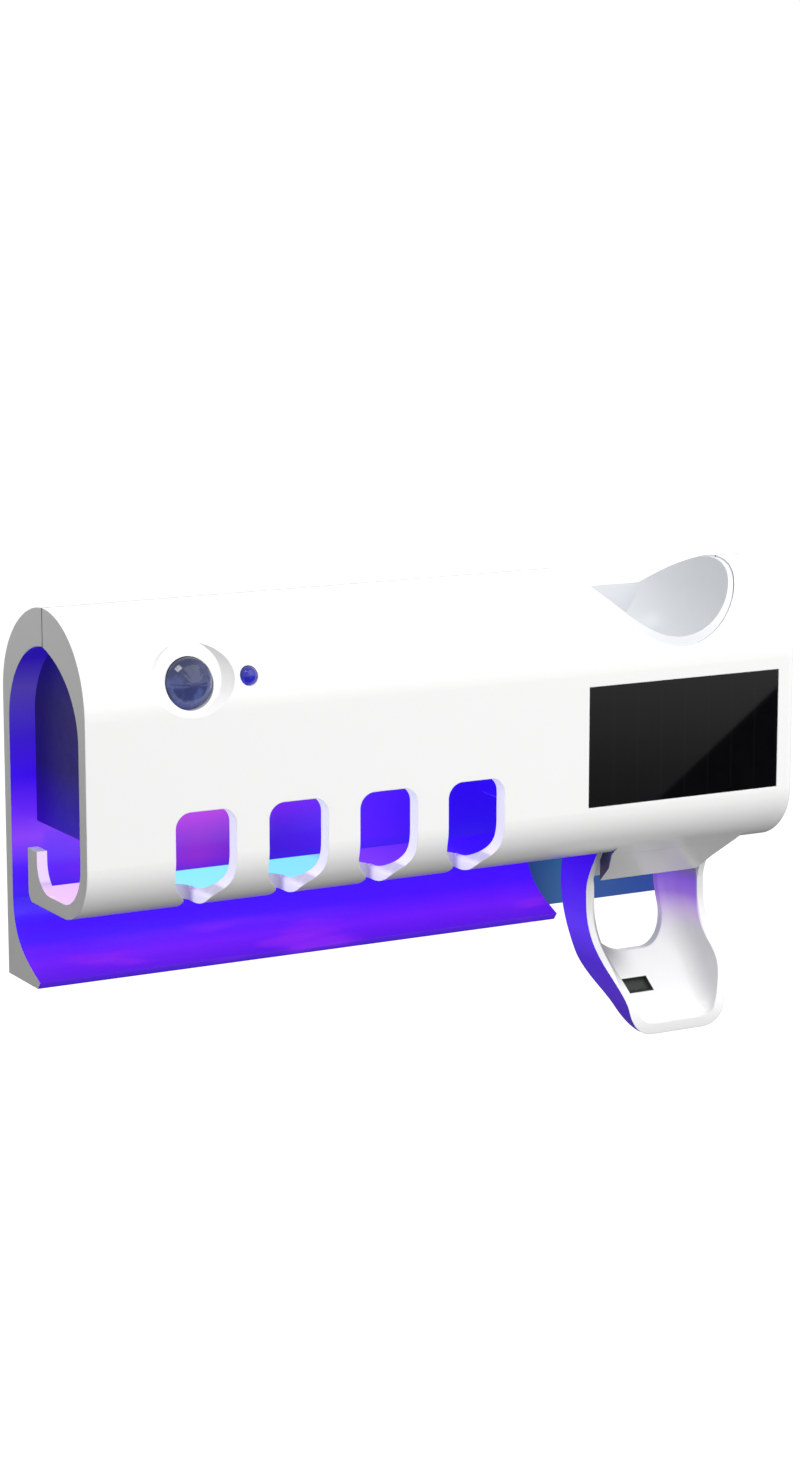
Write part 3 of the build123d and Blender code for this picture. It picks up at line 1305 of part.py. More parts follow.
with BuildPart() as push_lever:
    # scoop that a brush pushes back
    with BuildSketch(section(LEVER_X - LEVER_W / 2)):
        with BuildLine():
            lever_side(0, 0)
        make_face()
    extrude(amount=-LEVER_W)
    with BuildSketch(front(0)):
        with BuildLine():
            lever_face(0)
        make_face()
    extrude(amount=DEPTH + 5, mode=Mode.INTERSECT)
    add(lever_hollow.part, mode=Mode.SUBTRACT)
    # window in the scoop's back
    window_x = LEVER_X - WINDOW_IN
    with BuildSketch(front(10)):
        with BuildLine():
            Polyline(
                (window_x - WINDOW_HALF, -WINDOW_SIDE_DROP),
                (window_x - WINDOW_HALF, -WINDOW_TOP_DROP),
                (window_x + WINDOW_HALF, -WINDOW_TOP_DROP),
                (window_x + WINDOW_HALF, -WINDOW_SIDE_DROP),
            )
            for side in (-1, 1):
                Bezier(
                    (window_x + side * WINDOW_HALF, -WINDOW_SIDE_DROP),
                    (window_x + side * WINDOW_HALF, -WINDOW_SIDE_DROP - 6),
                    (window_x + side * (WINDOW_FOOT_HALF + 6), -WINDOW_LOW_DROP),
                    (window_x + side * WINDOW_FOOT_HALF, -WINDOW_LOW_DROP),
                )
            Line(
                (window_x - WINDOW_FOOT_HALF, -WINDOW_LOW_DROP),
                (window_x + WINDOW_FOOT_HALF, -WINDOW_LOW_DROP),
            )
        make_face()
    extrude(amount=DEPTH, mode=Mode.SUBTRACT)
    add(drain_recess.part, mode=Mode.SUBTRACT)
    # arms up past the hinge pin, joined by a round crossbar that works the plunger
    for side in (-1, 1):
        arm_x = LEVER_X + side * (LEVER_W - LEVER_T) / 2
        with BuildSketch(section(arm_x - LEVER_T / 2)):
            with BuildLine():
                Polyline(
                    (15.6, -91),
                    (28.0, -91),
                    (26.6, -78),
                    (CROSSBAR_OUT + 2.9, -BELLOWS_DROP + 2),
                    (CROSSBAR_OUT - 2.7, -BELLOWS_DROP + 2),
                    (CROSSBAR_OUT - 2.7, -BELLOWS_DROP - 2.6),
                    (16.8, -76),
                    (15.6, -85),
                    close=True,
                )
            make_face()
        extrude(amount=-LEVER_T)
        # cheek that leans forward beside the apron
        with BuildSketch(section(arm_x - LEVER_T / 2)):
            with BuildLine():
                cheek = [(out, -drop) for out, drop in CHEEK_POINTS]
                Spline(*cheek)
                Polyline(cheek[-1], (CHEEK_BACK, cheek[-1][1]), (CHEEK_BACK, cheek[0][1]), cheek[0])
            make_face()
        extrude(amount=-LEVER_T)
    with BuildSketch(section(LEVER_X - LEVER_W / 2)):
        with Locations((CROSSBAR_OUT, -BELLOWS_DROP)):
            Circle(CROSSBAR_R)
    extrude(amount=-LEVER_W)
    with BuildSketch(section(LEVER_X - LEVER_W / 2)):
        with Locations((PIVOT_OUT, -PIVOT_DROP)):
            Circle(PIN_D / 2 + PIN_CLEAR)
    extrude(amount=-LEVER_W, mode=Mode.SUBTRACT)
save(push_lever.part, "push_lever")

# torsion spring that brings the lever back, wound round the hinge pin
with BuildPart() as return_spring:
    spring_x = LEVER_X - LEVER_W / 2 + LEVER_T + 0.4
    spring_start = (spring_x, -PIVOT_OUT, TOP - PIVOT_DROP)
    with BuildLine() as coil:
        turns = Helix(SPRING_PITCH, SPRING_PITCH * 4, SPRING_R, center=spring_start, direction=(1, 0, 0))
    with BuildSketch(Plane(origin=turns @ 0, z_dir=turns % 0)):
        Circle(SPRING_WIRE_R)
    sweep(path=coil.line)
save(return_spring.part, "return_spring")

with BuildPart() as hinge_pin:
    with BuildSketch(section(LEVER_X - LEVER_W / 2 - LUG_GAP - LUG_T)):
        with Locations((PIVOT_OUT, -PIVOT_DROP)):
            Circle(PIN_D / 2 - PIN_UNDER)
    extrude(amount=-(LEVER_W + 2 * LUG_GAP + 2 * LUG_T))
save(hinge_pin.part, "hinge_pin")
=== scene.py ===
import bpy
import bmesh
import math
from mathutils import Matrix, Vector


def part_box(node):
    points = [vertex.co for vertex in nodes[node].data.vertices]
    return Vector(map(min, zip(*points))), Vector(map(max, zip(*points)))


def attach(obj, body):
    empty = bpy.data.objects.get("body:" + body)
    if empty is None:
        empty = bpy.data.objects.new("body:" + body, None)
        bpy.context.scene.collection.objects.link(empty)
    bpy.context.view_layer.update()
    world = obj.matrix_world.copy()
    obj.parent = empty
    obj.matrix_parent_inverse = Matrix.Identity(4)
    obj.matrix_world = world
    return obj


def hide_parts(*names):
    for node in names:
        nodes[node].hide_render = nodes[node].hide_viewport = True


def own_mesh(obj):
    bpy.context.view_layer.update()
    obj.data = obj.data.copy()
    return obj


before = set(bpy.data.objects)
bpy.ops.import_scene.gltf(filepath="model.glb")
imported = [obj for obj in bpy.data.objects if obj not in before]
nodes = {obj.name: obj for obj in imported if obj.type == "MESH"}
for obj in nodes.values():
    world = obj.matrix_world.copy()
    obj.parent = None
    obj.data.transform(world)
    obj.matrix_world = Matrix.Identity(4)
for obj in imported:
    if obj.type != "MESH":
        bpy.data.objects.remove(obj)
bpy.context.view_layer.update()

# Metres, in the frame's own axes: +Z up, the front faces -Y, the wall is at Y = 0.
MM = 0.001
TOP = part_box("front_cover")[1].z
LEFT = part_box("front_cover")[0].x


def drop(millimetres):
    """Height that lies this many millimetres below the housing's top."""
    return TOP - millimetres * MM


# ---- camera ------------------------------------------------------------------
CAMERA_AT = Vector((-0.46395, -0.85723, 0.17054))
CAMERA_AZIMUTH = math.radians(29.057)     # looking to the right of +Y
CAMERA_PITCH = math.radians(10.672)       # looking down
LENS_MM = 83.63
SENSOR_MM = 36
CLIP_START = 0.01

camera_data = bpy.data.cameras.new("camera")
camera_data.sensor_width = SENSOR_MM
camera_data.lens = LENS_MM
camera_data.clip_start = CLIP_START
camera = bpy.data.objects.new("camera", camera_data)
bpy.context.scene.collection.objects.link(camera)
forward = Vector((
    math.sin(CAMERA_AZIMUTH) * math.cos(CAMERA_PITCH),
    math.cos(CAMERA_AZIMUTH) * math.cos(CAMERA_PITCH),
    -math.sin(CAMERA_PITCH),
))
camera.location = CAMERA_AT
camera.rotation_mode = "QUATERNION"
camera.rotation_quaternion = forward.to_track_quat("-Z", "Y")
bpy.context.scene.camera = camera
bpy.context.scene.view_settings.view_transform = "Standard"


# ---- colours and node helpers --------------------------------------------------
WHITE = (1.0, 1.0, 1.0)
BLACK = (0.0, 0.0, 0.0)


def grey(level):
    """A neutral colour."""
    return (level, level, level)


def srgb(text):
    """Linear colour of a hex triplet."""
    channels = [int(text[i:i + 2], 16) / 255 for i in (0, 2, 4)]
    return tuple(c / 12.92 if c <= 0.04045 else ((c + 0.055) / 1.055) ** 2.4 for c in channels)


def make_material(name):
    """A node material, its Principled shader and its tree."""
    material = bpy.data.materials.new(name)
    material.use_nodes = True
    return material, material.node_tree.nodes["Principled BSDF"], material.node_tree


def add(tree, kind, inputs=None, **settings):
    """A new node. An input is a number, a colour, or the socket that feeds it."""
    made = tree.nodes.new(kind)
    for key, value in settings.items():
        setattr(made, key, value)
    for key, value in (inputs or {}).items():
        if isinstance(value, bpy.types.NodeSocket):
            tree.links.new(value, made.inputs[key])
        else:
            made.inputs[key].default_value = value
    return made


def coords(tree):
    """The object's own coordinates, in metres."""
    return add(tree, "ShaderNodeTexCoord").outputs["Object"]


def split(tree, vector):
    """The three sockets of a vector."""
    return add(tree, "ShaderNodeSeparateXYZ", {0: vector}).outputs


def travel(tree, value, low, high, **settings):
    """How far value has gone: 0 at low, 1 at high, and no further either way. Low may be the larger."""
    start, end = (1.0, 0.0) if low > high else (0.0, 1.0)
    made = add(
        tree,
        "ShaderNodeMapRange",
        {0: value, 1: min(low, high), 2: max(low, high), 3: start, 4: end},
        **settings,
    )
    return made.outputs[0]


def step(tree, value, low, high):
    """Travel from 0 to 1 with a smooth start and end."""
    return travel(tree, value, low, high, interpolation_type="SMOOTHSTEP")


def maths(tree, operation, *values):
    """The result of one sum, of one or two sockets or numbers."""
    return add(tree, "ShaderNodeMath", dict(enumerate(values)), operation=operation).outputs[0]


def times(tree, first, *others):
    """The product of several sockets."""
    result = first
    for value in others:
        result = maths(tree, "MULTIPLY", result, value)
    return result


def larger(tree, a, b):
    """The larger of two sockets."""
    return maths(tree, "MAXIMUM", a, b)


def without(tree, mask, hole):
    """Mask, with the hole taken out of it."""
    return times(tree, mask, maths(tree, "SUBTRACT", 1.0, hole))


def band(tree, value, start, end, soft=0.5 * MM):
    """1 between start and end, fading over soft at both."""
    rise = step(tree, value, start - soft, start + soft)
    fall = step(tree, value, end + soft, end - soft)
    return times(tree, rise, fall)


def ramp(tree, value, low, high, stops):
    """The colour of value on its way from low to high. A stop is (share of the way, colour or hex)."""
    made = add(tree, "ShaderNodeValToRGB", {0: travel(tree, value, low, high)})
    elements = made.color_ramp.elements
    elements.remove(elements[-1])
    for index, (place, colour) in enumerate(sorted(stops)):
        element = elements.new(place) if index else elements[0]
        element.position = place
        element.color = (*(srgb(colour) if isinstance(colour, str) else colour), 1)
    return made.outputs[0]


def mix(tree, share, a, b):
    """Colour a where share is 0 and b where it is 1."""
    made = add(tree, "ShaderNodeMix", data_type="RGBA")
    for socket, value in ((made.inputs[0], share), (made.inputs[6], a), (made.inputs[7], b)):
        if isinstance(value, bpy.types.NodeSocket):
            tree.links.new(value, socket)
        else:
            socket.default_value = (*value, 1) if isinstance(value, tuple) else value
    return made.outputs[2]


def noise(tree, where, size_mm, detail=2.0):
    """Noise whose lumps are about size_mm across."""
    made = add(tree, "ShaderNodeTexNoise", {"Vector": where, "Scale": 1000 / size_mm, "Detail": detail})
    return made.outputs["Fac"]


def relief(tree, shader, height, strength, depth_mm, edge_mm=0.0):
    """Relief of this depth, over edges that are rounded by edge_mm."""
    bump = add(tree, "ShaderNodeBump", {"Height": height, "Strength": strength, "Distance": depth_mm * MM})
    if edge_mm:
        soft = add(tree, "ShaderNodeBevel", {"Radius": edge_mm * MM}, samples=4)
        tree.links.new(soft.outputs[0], bump.inputs["Normal"])
    tree.links.new(bump.outputs[0], shader.inputs["Normal"])


MARK_SHARE = 0.3            # size of a handling mark against the colour's lumps
MARK_RANGE = (0.3, 0.7)     # part of the noise that the marks' roughness runs over
LEAST_ROUGHNESS = 0.02
GRAIN_STRENGTH = 0.6


def tone(tree, shader, colour, roughness, where, mottle=0.03, lump_mm=18, rough_spread=0.06):
    """Slow mottling of the colour, whose socket it returns, and handling marks in the gloss."""
    darker = tuple(c * (1 - mottle) for c in colour)
    shade = mix(tree, noise(tree, where, lump_mm, 3), darker, colour)
    marks = noise(tree, where, lump_mm * MARK_SHARE, 5)
    spread = add(
        tree,
        "ShaderNodeMapRange",
        {
            0: marks,
            1: MARK_RANGE[0],
            2: MARK_RANGE[1],
            3: max(roughness - rough_spread, LEAST_ROUGHNESS),
            4: roughness + rough_spread,
        },
    )
    tree.links.new(spread.outputs[0], shader.inputs["Roughness"])
    tree.links.new(shade, shader.inputs["Base Color"])
    return shade


def surface(tree, shader, colour, roughness, where, grain_mm=0.4, grain_depth=0.004, edge_mm=0.0, **mottling):
    """Tone, fine grain and soft edges of a real surface. Returns the colour's socket."""
    relief(tree, shader, noise(tree, where, grain_mm), GRAIN_STRENGTH, grain_depth, edge_mm)
    return tone(tree, shader, colour, roughness, where, **mottling)


def wear(owner, material):
    """The material on the whole of a CAD node, given by name, or of a piece."""
    obj = nodes[owner] if isinstance(owner, str) else owner
    obj.data.materials.clear()
    obj.data.materials.append(material)


# ---- floor and light -----------------------------------------------------------
FLOOR_Z = -1.4
FLOOR_HALF = 40.0
FLAG_X = -0.55
FLAG_HALF_WIDTH = 0.36
FLAG_FOOT = -0.45
FLAG_TOP = 0.38
GLASS_CARD_Y = -1.257
GLASS_CARD_XZ = ((0.756, -0.402), (1.1165, -0.143), (1.12, -0.402))
SQUARE = ((-1, -1), (1, -1), (1, 1), (-1, 1))


def card(name, corners, colour):
    """A flat matt card that stands in the room and isn't part of the object."""
    mesh = bpy.data.meshes.new(name)
    mesh.from_pydata(corners, [], [tuple(range(len(corners)))])
    made = bpy.data.objects.new(name, mesh)
    bpy.context.scene.collection.objects.link(made)
    material, shader, _ = make_material(name)
    shader.inputs["Base Color"].default_value = (*colour, 1)
    shader.inputs["Specular IOR Level"].default_value = 0.0
    shader.inputs["Roughness"].default_value = 1.0
    made.data.materials.append(material)
    return made


def hide_from(obj, *rays):
    """Rays of these kinds pass the object by."""
    for ray in rays:
        setattr(obj, "visible_" + ray, False)


floor = card("floor", [(x * FLOOR_HALF, y * FLOOR_HALF, FLOOR_Z) for x, y in SQUARE], WHITE)
hide_from(floor, "diffuse", "glossy")

# a black flag out of sight on the left keeps the open end in soft shade
flag_corners = [(FLAG_X, side * FLAG_HALF_WIDTH, FLAG_FOOT if up < 0 else FLAG_TOP) for side, up in SQUARE]
flag = card("left_flag", flag_corners, BLACK)
hide_from(flag, "camera", "glossy", "transmission")

# a three-cornered card in front gives the solar panel's glass the slanting edge of its reflection
glass_card = card("reflection_card", [(x, GLASS_CARD_Y, z) for x, z in GLASS_CARD_XZ], BLACK)
hide_from(glass_card, "camera", "diffuse", "shadow", "transmission")

# a light room: bright above and level with the object, darker below it
WORLD_STRENGTH = 1.12
WORLD_STOPS = [(0.0, grey(0.11)), (0.4, grey(0.14)), (0.44, WHITE), (1.0, WHITE)]
world = bpy.data.worlds.new("studio")
world.use_nodes = True
world_tree = world.node_tree
sky_z = split(world_tree, add(world_tree, "ShaderNodeTexCoord").outputs["Generated"])[2]
sky = ramp(world_tree, sky_z, -1.0, 1.0, WORLD_STOPS)
world_tree.links.new(sky, world_tree.nodes["Background"].inputs["Color"])
world_tree.nodes["Background"].inputs["Strength"].default_value = WORLD_STRENGTH
bpy.context.scene.world = world


def area_light(name, at, size, watts):
    """A soft square light at a place, facing the frame's origin."""
    data = bpy.data.lights.new(name, "AREA")
    data.size = size
    data.energy = watts
    light = bpy.data.objects.new(name, data)
    bpy.context.scene.collection.objects.link(light)
    light.location = at
    light.rotation_mode = "QUATERNION"
    light.rotation_quaternion = (-Vector(at)).to_track_quat("-Z", "Y")
    return light


area_light("key", at=(0.7, -1.5, 1.1), size=2.4, watts=26)
# its reflections are the highlights on the sensor's lens and the indicator light
hide_from(area_light("sparkle", at=(-0.62, -0.4, 1.05), size=0.3, watts=3), "diffuse")


# ---- materials: the white shells and the lamp's glow painted on them ---------------
# Heights are drops below the housing's top, and a ramp's stops are shares of its way and hex colours.
# dark blue that a surface with painted lamp light keeps of its own colour
PAINTED_LIT_BASE = tuple(c * 0.06 for c in srgb("3A00F4"))

CHAMBER_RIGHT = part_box("pump_partition")[1].x
ARCH_CEILING = drop(8)
FLARE_RIGHT = 52 * MM           # the foot flares out as far as this
BAR_RIGHT = 104 * MM            # the wall's colours past the flare end here
DARK_X = 43 * MM                # the pump's side, right of this, gets no light
APRON_X = 55 * MM               # the apron lies right of this
RIGHT_END_X = 111 * MM
SEAM_Y = -30 * MM
SEAM_HALF_WIDTH = 0.22 * MM
SEAM_SOFT = 0.04 * MM
# painted shade that darkens the groove between the two shells
PAINTED_SEAM_SHADE = (0.035, 0.035, 0.04)
ABS_WHITE = (0.9, 0.9, 0.893)
LEVER_WHITE = (0.84, 0.84, 0.835)
PAINTED_SLOT_WALL_LIGHT = (0.42, 0.42, 0.44)


def normal_of(tree):
    """The three sockets of the surface's own normal. Near -1 they mean facing left, forwards and down."""
    return split(tree, add(tree, "ShaderNodeTexCoord").outputs["Normal"])


def glow(shader, tree, shade, mask, colour, strength, keep=0.02):
    """Painted lamp light where mask is 1: the surface gives off colour, and keeps little of its own shade."""
    lit_base = mix(tree, 1 - keep, shade, PAINTED_LIT_BASE)
    given_off = mix(tree, mask, BLACK, colour)
    tree.links.new(mix(tree, mask, shade, lit_base), shader.inputs["Base Color"])
    tree.links.new(given_off, shader.inputs["Emission Color"])
    shader.inputs["Emission Strength"].default_value = strength
    return given_off


def white_abs(name, tint=ABS_WHITE):
    """Glossy white ABS: material, shader, tree, coordinates and shade."""
    material, shader, tree = make_material(name)
    where = coords(tree)
    shade = surface(tree, shader, tint, 0.24, where, edge_mm=0.35, mottle=0.008, rough_spread=0.012)
    shader.inputs["Specular IOR Level"].default_value = 0.3
    return material, shader, tree, where, shade


def seam_groove(tree, x, y, z):
    """1 in the groove between the two shells, over the top and down the right end, where painted shade
    darkens it.
    """
    groove = band(tree, y, SEAM_Y - SEAM_HALF_WIDTH, SEAM_Y + SEAM_HALF_WIDTH, SEAM_SOFT)
    over_top = step(tree, z, drop(24), drop(22))
    down_end = step(tree, x, RIGHT_END_X, RIGHT_END_X + 1 * MM)
    return times(tree, groove, larger(tree, over_top, down_end))


def back_shell_material():
    material, shader, tree, where, shade = white_abs("back_shell_abs")
    x, y, z = split(tree, where)
    nx, ny, _ = normal_of(tree)
    groove = seam_groove(tree, x, y, z)
    # painted shade in the groove between the shells
    shade = mix(tree, groove, shade, PAINTED_SEAM_SHADE)
    # the wall steps forward beside the partition, and painted lamp light falls on the step's side as well
    beside_partition = band(tree, x, CHAMBER_RIGHT - 3 * MM, CHAMBER_RIGHT + 3 * MM)
    step_side = times(tree, step(tree, nx, -0.3, -0.8), beside_partition)
    lit = without(tree, larger(tree, step(tree, ny, -0.02, -0.2), step_side), groove)
    dark_side = times(tree, step(tree, x, DARK_X, DARK_X + 1 * MM), step(tree, z, drop(80), drop(78)))
    lit = without(tree, lit, dark_side)
    # painted lamp light on the wall of the chamber, as it shows through the four slots
    upper = ramp(tree, x, LEFT, CHAMBER_RIGHT, [
        (0.1, "8A40F0"), (0.3, "D850E8"), (0.45, "D048E8"), (0.54, "8A22F0"), (0.66, "7A20F4"),
        (0.74, "5018F8"), (0.86, "4410F0"), (0.94, "2A08E8"),
    ])
    lower = ramp(tree, x, LEFT, CHAMBER_RIGHT, [
        (0.1, "5A20F0"), (0.38, "8A28C8"), (0.54, "3A10D0"), (0.74, "5018F8"), (0.94, "2A08E8"),
    ])
    chamber = mix(tree, step(tree, z, drop(57), drop(76)), upper, lower)
    # painted lamp light on the foot below the floor, with painted violet streaks of light along it near its
    # edge
    foot = ramp(tree, z, drop(106), drop(82), [
        (0.0, "3A08B8"), (0.12, "5A04E0"), (0.22, "6A10F0"), (0.42, "4404FC"), (0.75, "3C00FA"),
        (1.0, "2C00E0"),
    ])
    drawn_out = add(
        tree, "ShaderNodeMapping", {"Vector": where, "Scale": (0.25, 1.0, 1.0), "Rotation": (0, 0.12, 0)},
    ).outputs[0]
    painted_glow_streak = step(tree, noise(tree, drawn_out, 9), 0.5, 0.68)
    foot = mix(tree, times(tree, painted_glow_streak, step(tree, z, drop(95), drop(101))), foot, srgb("8018E8"))
    colour = mix(tree, step(tree, z, drop(78), drop(85)), chamber, foot)
    # painted lamp light on the strip beside the open end, from the floor's height up to the top of the arch
    strip = ramp(tree, z, drop(86), ARCH_CEILING, [
        (0.0, "3400F4"), (0.14, "4A10F4"), (0.24, "8438F0"), (0.34, "6020F0"), (0.46, "3400E4"),
        (0.6, "3414C0"), (0.78, "4838A0"), (0.9, "2410A0"), (1.0, "200890"),
    ])
    near_end = times(tree, step(tree, x, LEFT + 11 * MM, LEFT + 8 * MM), step(tree, z, drop(86), drop(80)))
    colour = mix(tree, near_end, colour, strip)
    # past the flare, painted lamp light, as if falling on the wall from further off
    bar = ramp(tree, x, FLARE_RIGHT, BAR_RIGHT, [
        (0.0, "1C3A70"), (0.3, "2F5F90"), (0.45, "28508E"), (0.75, "2A4A90"), (1.0, "22389A"),
    ])
    colour = mix(tree, step(tree, x, FLARE_RIGHT - 0.5 * MM, FLARE_RIGHT + 0.2 * MM), colour, bar)
    glow(shader, tree, shade, lit, colour, 1.0)
    return material


def front_cover_material():
    material, shader, tree, where, shade = white_abs("front_cover_abs")
    x, y, z = split(tree, where)
    nx, ny, nz = normal_of(tree)
    groove = seam_groove(tree, x, y, z)
    # painted shade in the groove between the shells
    shade = mix(tree, groove, shade, PAINTED_SEAM_SHADE)
    # painted shade on the apron's left face
    apron_side_shade = times(
        tree,
        step(tree, nx, -0.3, -0.6),
        step(tree, z, drop(79), drop(81)),
        step(tree, x, APRON_X, APRON_X + 2 * MM),
    )
    shade = mix(tree, apron_side_shade, shade, srgb("6A6080"))
    in_chamber = step(tree, x, CHAMBER_RIGHT - 1 * MM, CHAMBER_RIGHT - 2 * MM)
    # painted lamp light on the chamber's floor, its lip and its inner wall
    floor_top = times(tree, step(tree, nz, 0.4, 0.9), band(tree, z, drop(79.3), drop(76)), in_chamber)
    floor_glow = ramp(tree, x, LEFT, CHAMBER_RIGHT, [
        (0.0, "F0CCF4"), (0.13, "E8C0F4"), (0.2, "A0E0F0"), (0.28, "80F0EC"), (0.56, "88E4F0"),
        (0.63, "7838E8"), (0.76, "6428F0"), (0.84, "3810F0"), (1.0, "2A08E0"),
    ])
    lip = times(tree, step(tree, ny, -0.1, -0.4), step(tree, y, -27 * MM, -25 * MM), in_chamber)
    lip_glow = ramp(tree, x, LEFT, CHAMBER_RIGHT, [
        (0.0, "F0D8F8"), (0.1, "E8C8F8"), (0.3, "A8D8F8"), (0.6, "8060F0"), (1.0, "3A20F0"),
    ])
    inward = without(tree, times(tree, step(tree, ny, 0.05, 0.4), in_chamber), groove)
    wall_glow = ramp(tree, z, drop(80), ARCH_CEILING, [
        (0.0, "A040FF"), (0.3, "6A00F4"), (0.6, "2A08E0"), (1.0, "15104A"),
    ])
    # painted light: the thick walls of the slots give off a pale grey, standing in for light that bounces
    # round inside them and keeps them near white
    slot_wall = times(
        tree,
        step(tree, maths(tree, "ABSOLUTE", nx), 0.35, 0.6),
        band(tree, x, LEFT + 10 * MM, CHAMBER_RIGHT),
        band(tree, z, drop(85), drop(52)),
        step(tree, y, -38 * MM, -42 * MM),
    )
    colour = mix(tree, floor_top, wall_glow, floor_glow)
    colour = mix(tree, lip, colour, lip_glow)
    lit = larger(tree, larger(tree, floor_top, inward), lip)
    given_off = glow(shader, tree, shade, lit, colour, 1.0)
    tree.links.new(mix(tree, slot_wall, given_off, PAINTED_SLOT_WALL_LIGHT), shader.inputs["Emission Color"])
    return material


def lever_material():
    material, shader, tree, where, shade = white_abs("push_lever_abs", LEVER_WHITE)
    x, _, z = split(tree, where)
    nx, ny, _ = normal_of(tree)
    low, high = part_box("push_lever")
    middle = (low.x + high.x) / 2
    side_wall = 2.2 * MM
    # painted lamp light on the lever's left flank
    flank = times(tree, step(tree, nx, -0.25, -0.5), step(tree, x, middle - 5 * MM, middle - 6 * MM))
    flank_glow = ramp(tree, z, drop(138), drop(84), [
        (0.0, "3A2090"), (0.2, "4A22B8"), (0.38, "4820C8"), (0.55, "5C2CF8"), (0.8, "4A18F4"),
        (1.0, "3406E0"),
    ])
    # painted lamp light inside the scoop reaches the upper right, then fades to white further down
    inside = times(
        tree,
        band(tree, x, low.x + side_wall, high.x - side_wall, 0.3 * MM),
        larger(tree, step(tree, ny, -0.1, -0.5), step(tree, nx, -0.3, -0.7)),
    )
    across = ramp(tree, x, middle, high.x, [
        (0.0, "2A10C8"), (0.3, "2A10C8"), (0.5, "5030C0"), (0.72, "7048C8"), (0.88, "6E6088"),
        (1.0, "706080"),
    ])
    down = ramp(tree, z, drop(115), drop(93), [
        (0.0, "E8DCF2"), (0.3, "C8A8E4"), (0.55, "9068D0"), (0.8, "7A50D0"), (1.0, "5A38C0"),
    ])
    violet = mix(tree, step(tree, z, drop(100), drop(94)), down, across)
    reach = times(
        tree,
        inside,
        step(tree, x, middle + 1 * MM, middle + 8 * MM),
        step(tree, z, drop(116), drop(102)),
    )
    # painted shade on the scoop's inner left side
    scoop_side_shade = times(
        tree,
        inside,
        step(tree, x, middle - 2 * MM, middle - 13 * MM),
        band(tree, z, drop(121), drop(104), 5 * MM),
    )
    # painted shade darkens the blind drain recess
    drain_shade = times(
        tree,
        band(tree, x, middle - 11.6 * MM, middle - 2.4 * MM, 0.15 * MM),
        band(tree, z, drop(127.2), drop(123.8), 0.1 * MM),
        step(tree, ny, 0.5, 0.3),
    )
    shade = mix(tree, scoop_side_shade, shade, (0.3, 0.3, 0.32))
    shade = mix(tree, drain_shade, shade, (0.045, 0.05, 0.045))
    colour = mix(tree, flank, violet, flank_glow)
    glow(shader, tree, shade, larger(tree, flank, reach), colour, 0.9)
    return material


def screen_material(name, stops):
    """The upright plates at the chamber's two ends: dark plastic with painted lamp light on it."""
    material, shader, tree = make_material(name)
    where = coords(tree)
    z = split(tree, where)[2]
    nx, _, nz = normal_of(tree)
    shade = surface(tree, shader, srgb("141030"), 0.5, where, mottle=0.1)
    shader.inputs["Specular IOR Level"].default_value = 0.2
    # painted lamp light: the left faces take the ramp, other faces one violet and the faces turned down
    # another
    left_face = ramp(tree, z, drop(62.8), drop(6), stops)
    colour = mix(tree, step(tree, nx, -0.3, -0.8), srgb("5A20E0"), left_face)
    colour = mix(tree, step(tree, nz, -0.3, -0.8), colour, srgb("6A30E0"))
    glow(shader, tree, shade, 1.0, colour, 0.9, keep=0.1)
    return material


wear("back_shell", back_shell_material())
wear("front_cover", front_cover_material())
wear("push_lever", lever_material())
wear("light_baffle", screen_material("baffle_plastic", [
    (0.0, "2606A8"), (0.12, "1E0890"), (0.3, "1A1058"), (0.6, "1A1650"), (0.85, "180E70"), (1.0, "14087A"),
]))
wear("pump_partition", screen_material("partition_plastic", [
    (0.0, "3A10D8"), (0.4, "5A20F0"), (1.0, "2A10A0"),
]))


# ---- materials: everything else ----------------------------------------------------
def moulded(name, tint, roughness=0.4, grain_depth=0.008, mottle=0.03):
    """Moulded plastic with a fine eroded texture and rounded edges."""
    material, shader, tree = make_material(name)
    surface(tree, shader, tint, roughness, coords(tree), grain_depth=grain_depth, edge_mm=0.15, mottle=mottle,
            rough_spread=0.02)
    shader.inputs["Specular IOR Level"].default_value = 0.4
    return material


def brushed(name, tint, roughness, along, line_mm=0.15):
    """Metal whose fine lines run along one axis."""
    material, shader, tree = make_material(name)
    where = coords(tree)
    squeeze = tuple(0.04 if axis == along else 1.0 for axis in "xyz")
    drawn = add(tree, "ShaderNodeMapping", {"Vector": where, "Scale": squeeze}).outputs[0]
    lines = noise(tree, drawn, line_mm, 3)
    relief(tree, shader, lines, 0.4, 0.006)
    shade = tone(tree, shader, tint, roughness, where, mottle=0.08, lump_mm=4)
    tree.links.new(mix(tree, lines, tuple(c * 0.86 for c in tint), shade), shader.inputs["Base Color"])
    shader.inputs["Metallic"].default_value = 1.0
    return material


def silicone(name, tint):
    """Soft translucent silicone with a dusty bloom."""
    material, shader, tree = make_material(name)
    surface(tree, shader, tint, 0.5, coords(tree), grain_mm=0.12, grain_depth=0.01, mottle=0.06, lump_mm=3)
    shader.inputs["Subsurface Weight"].default_value = 0.3
    shader.inputs["Subsurface Radius"].default_value = (0.002, 0.002, 0.002)
    shader.inputs["Sheen Weight"].default_value = 0.25
    return material


def foam():
    """Closed-cell adhesive foam."""
    material, shader, tree = make_material("foam_cells")
    cell_mm = 0.35
    pores = add(tree, "ShaderNodeTexVoronoi", {"Vector": coords(tree), "Scale": 1000 / cell_mm})
    cells = pores.outputs["Distance"]
    relief(tree, shader, cells, 0.8, 0.06)
    tree.links.new(mix(tree, cells, (0.7, 0.7, 0.68), (0.9, 0.9, 0.88)), shader.inputs["Base Color"])
    shader.inputs["Roughness"].default_value = 0.9
    return material


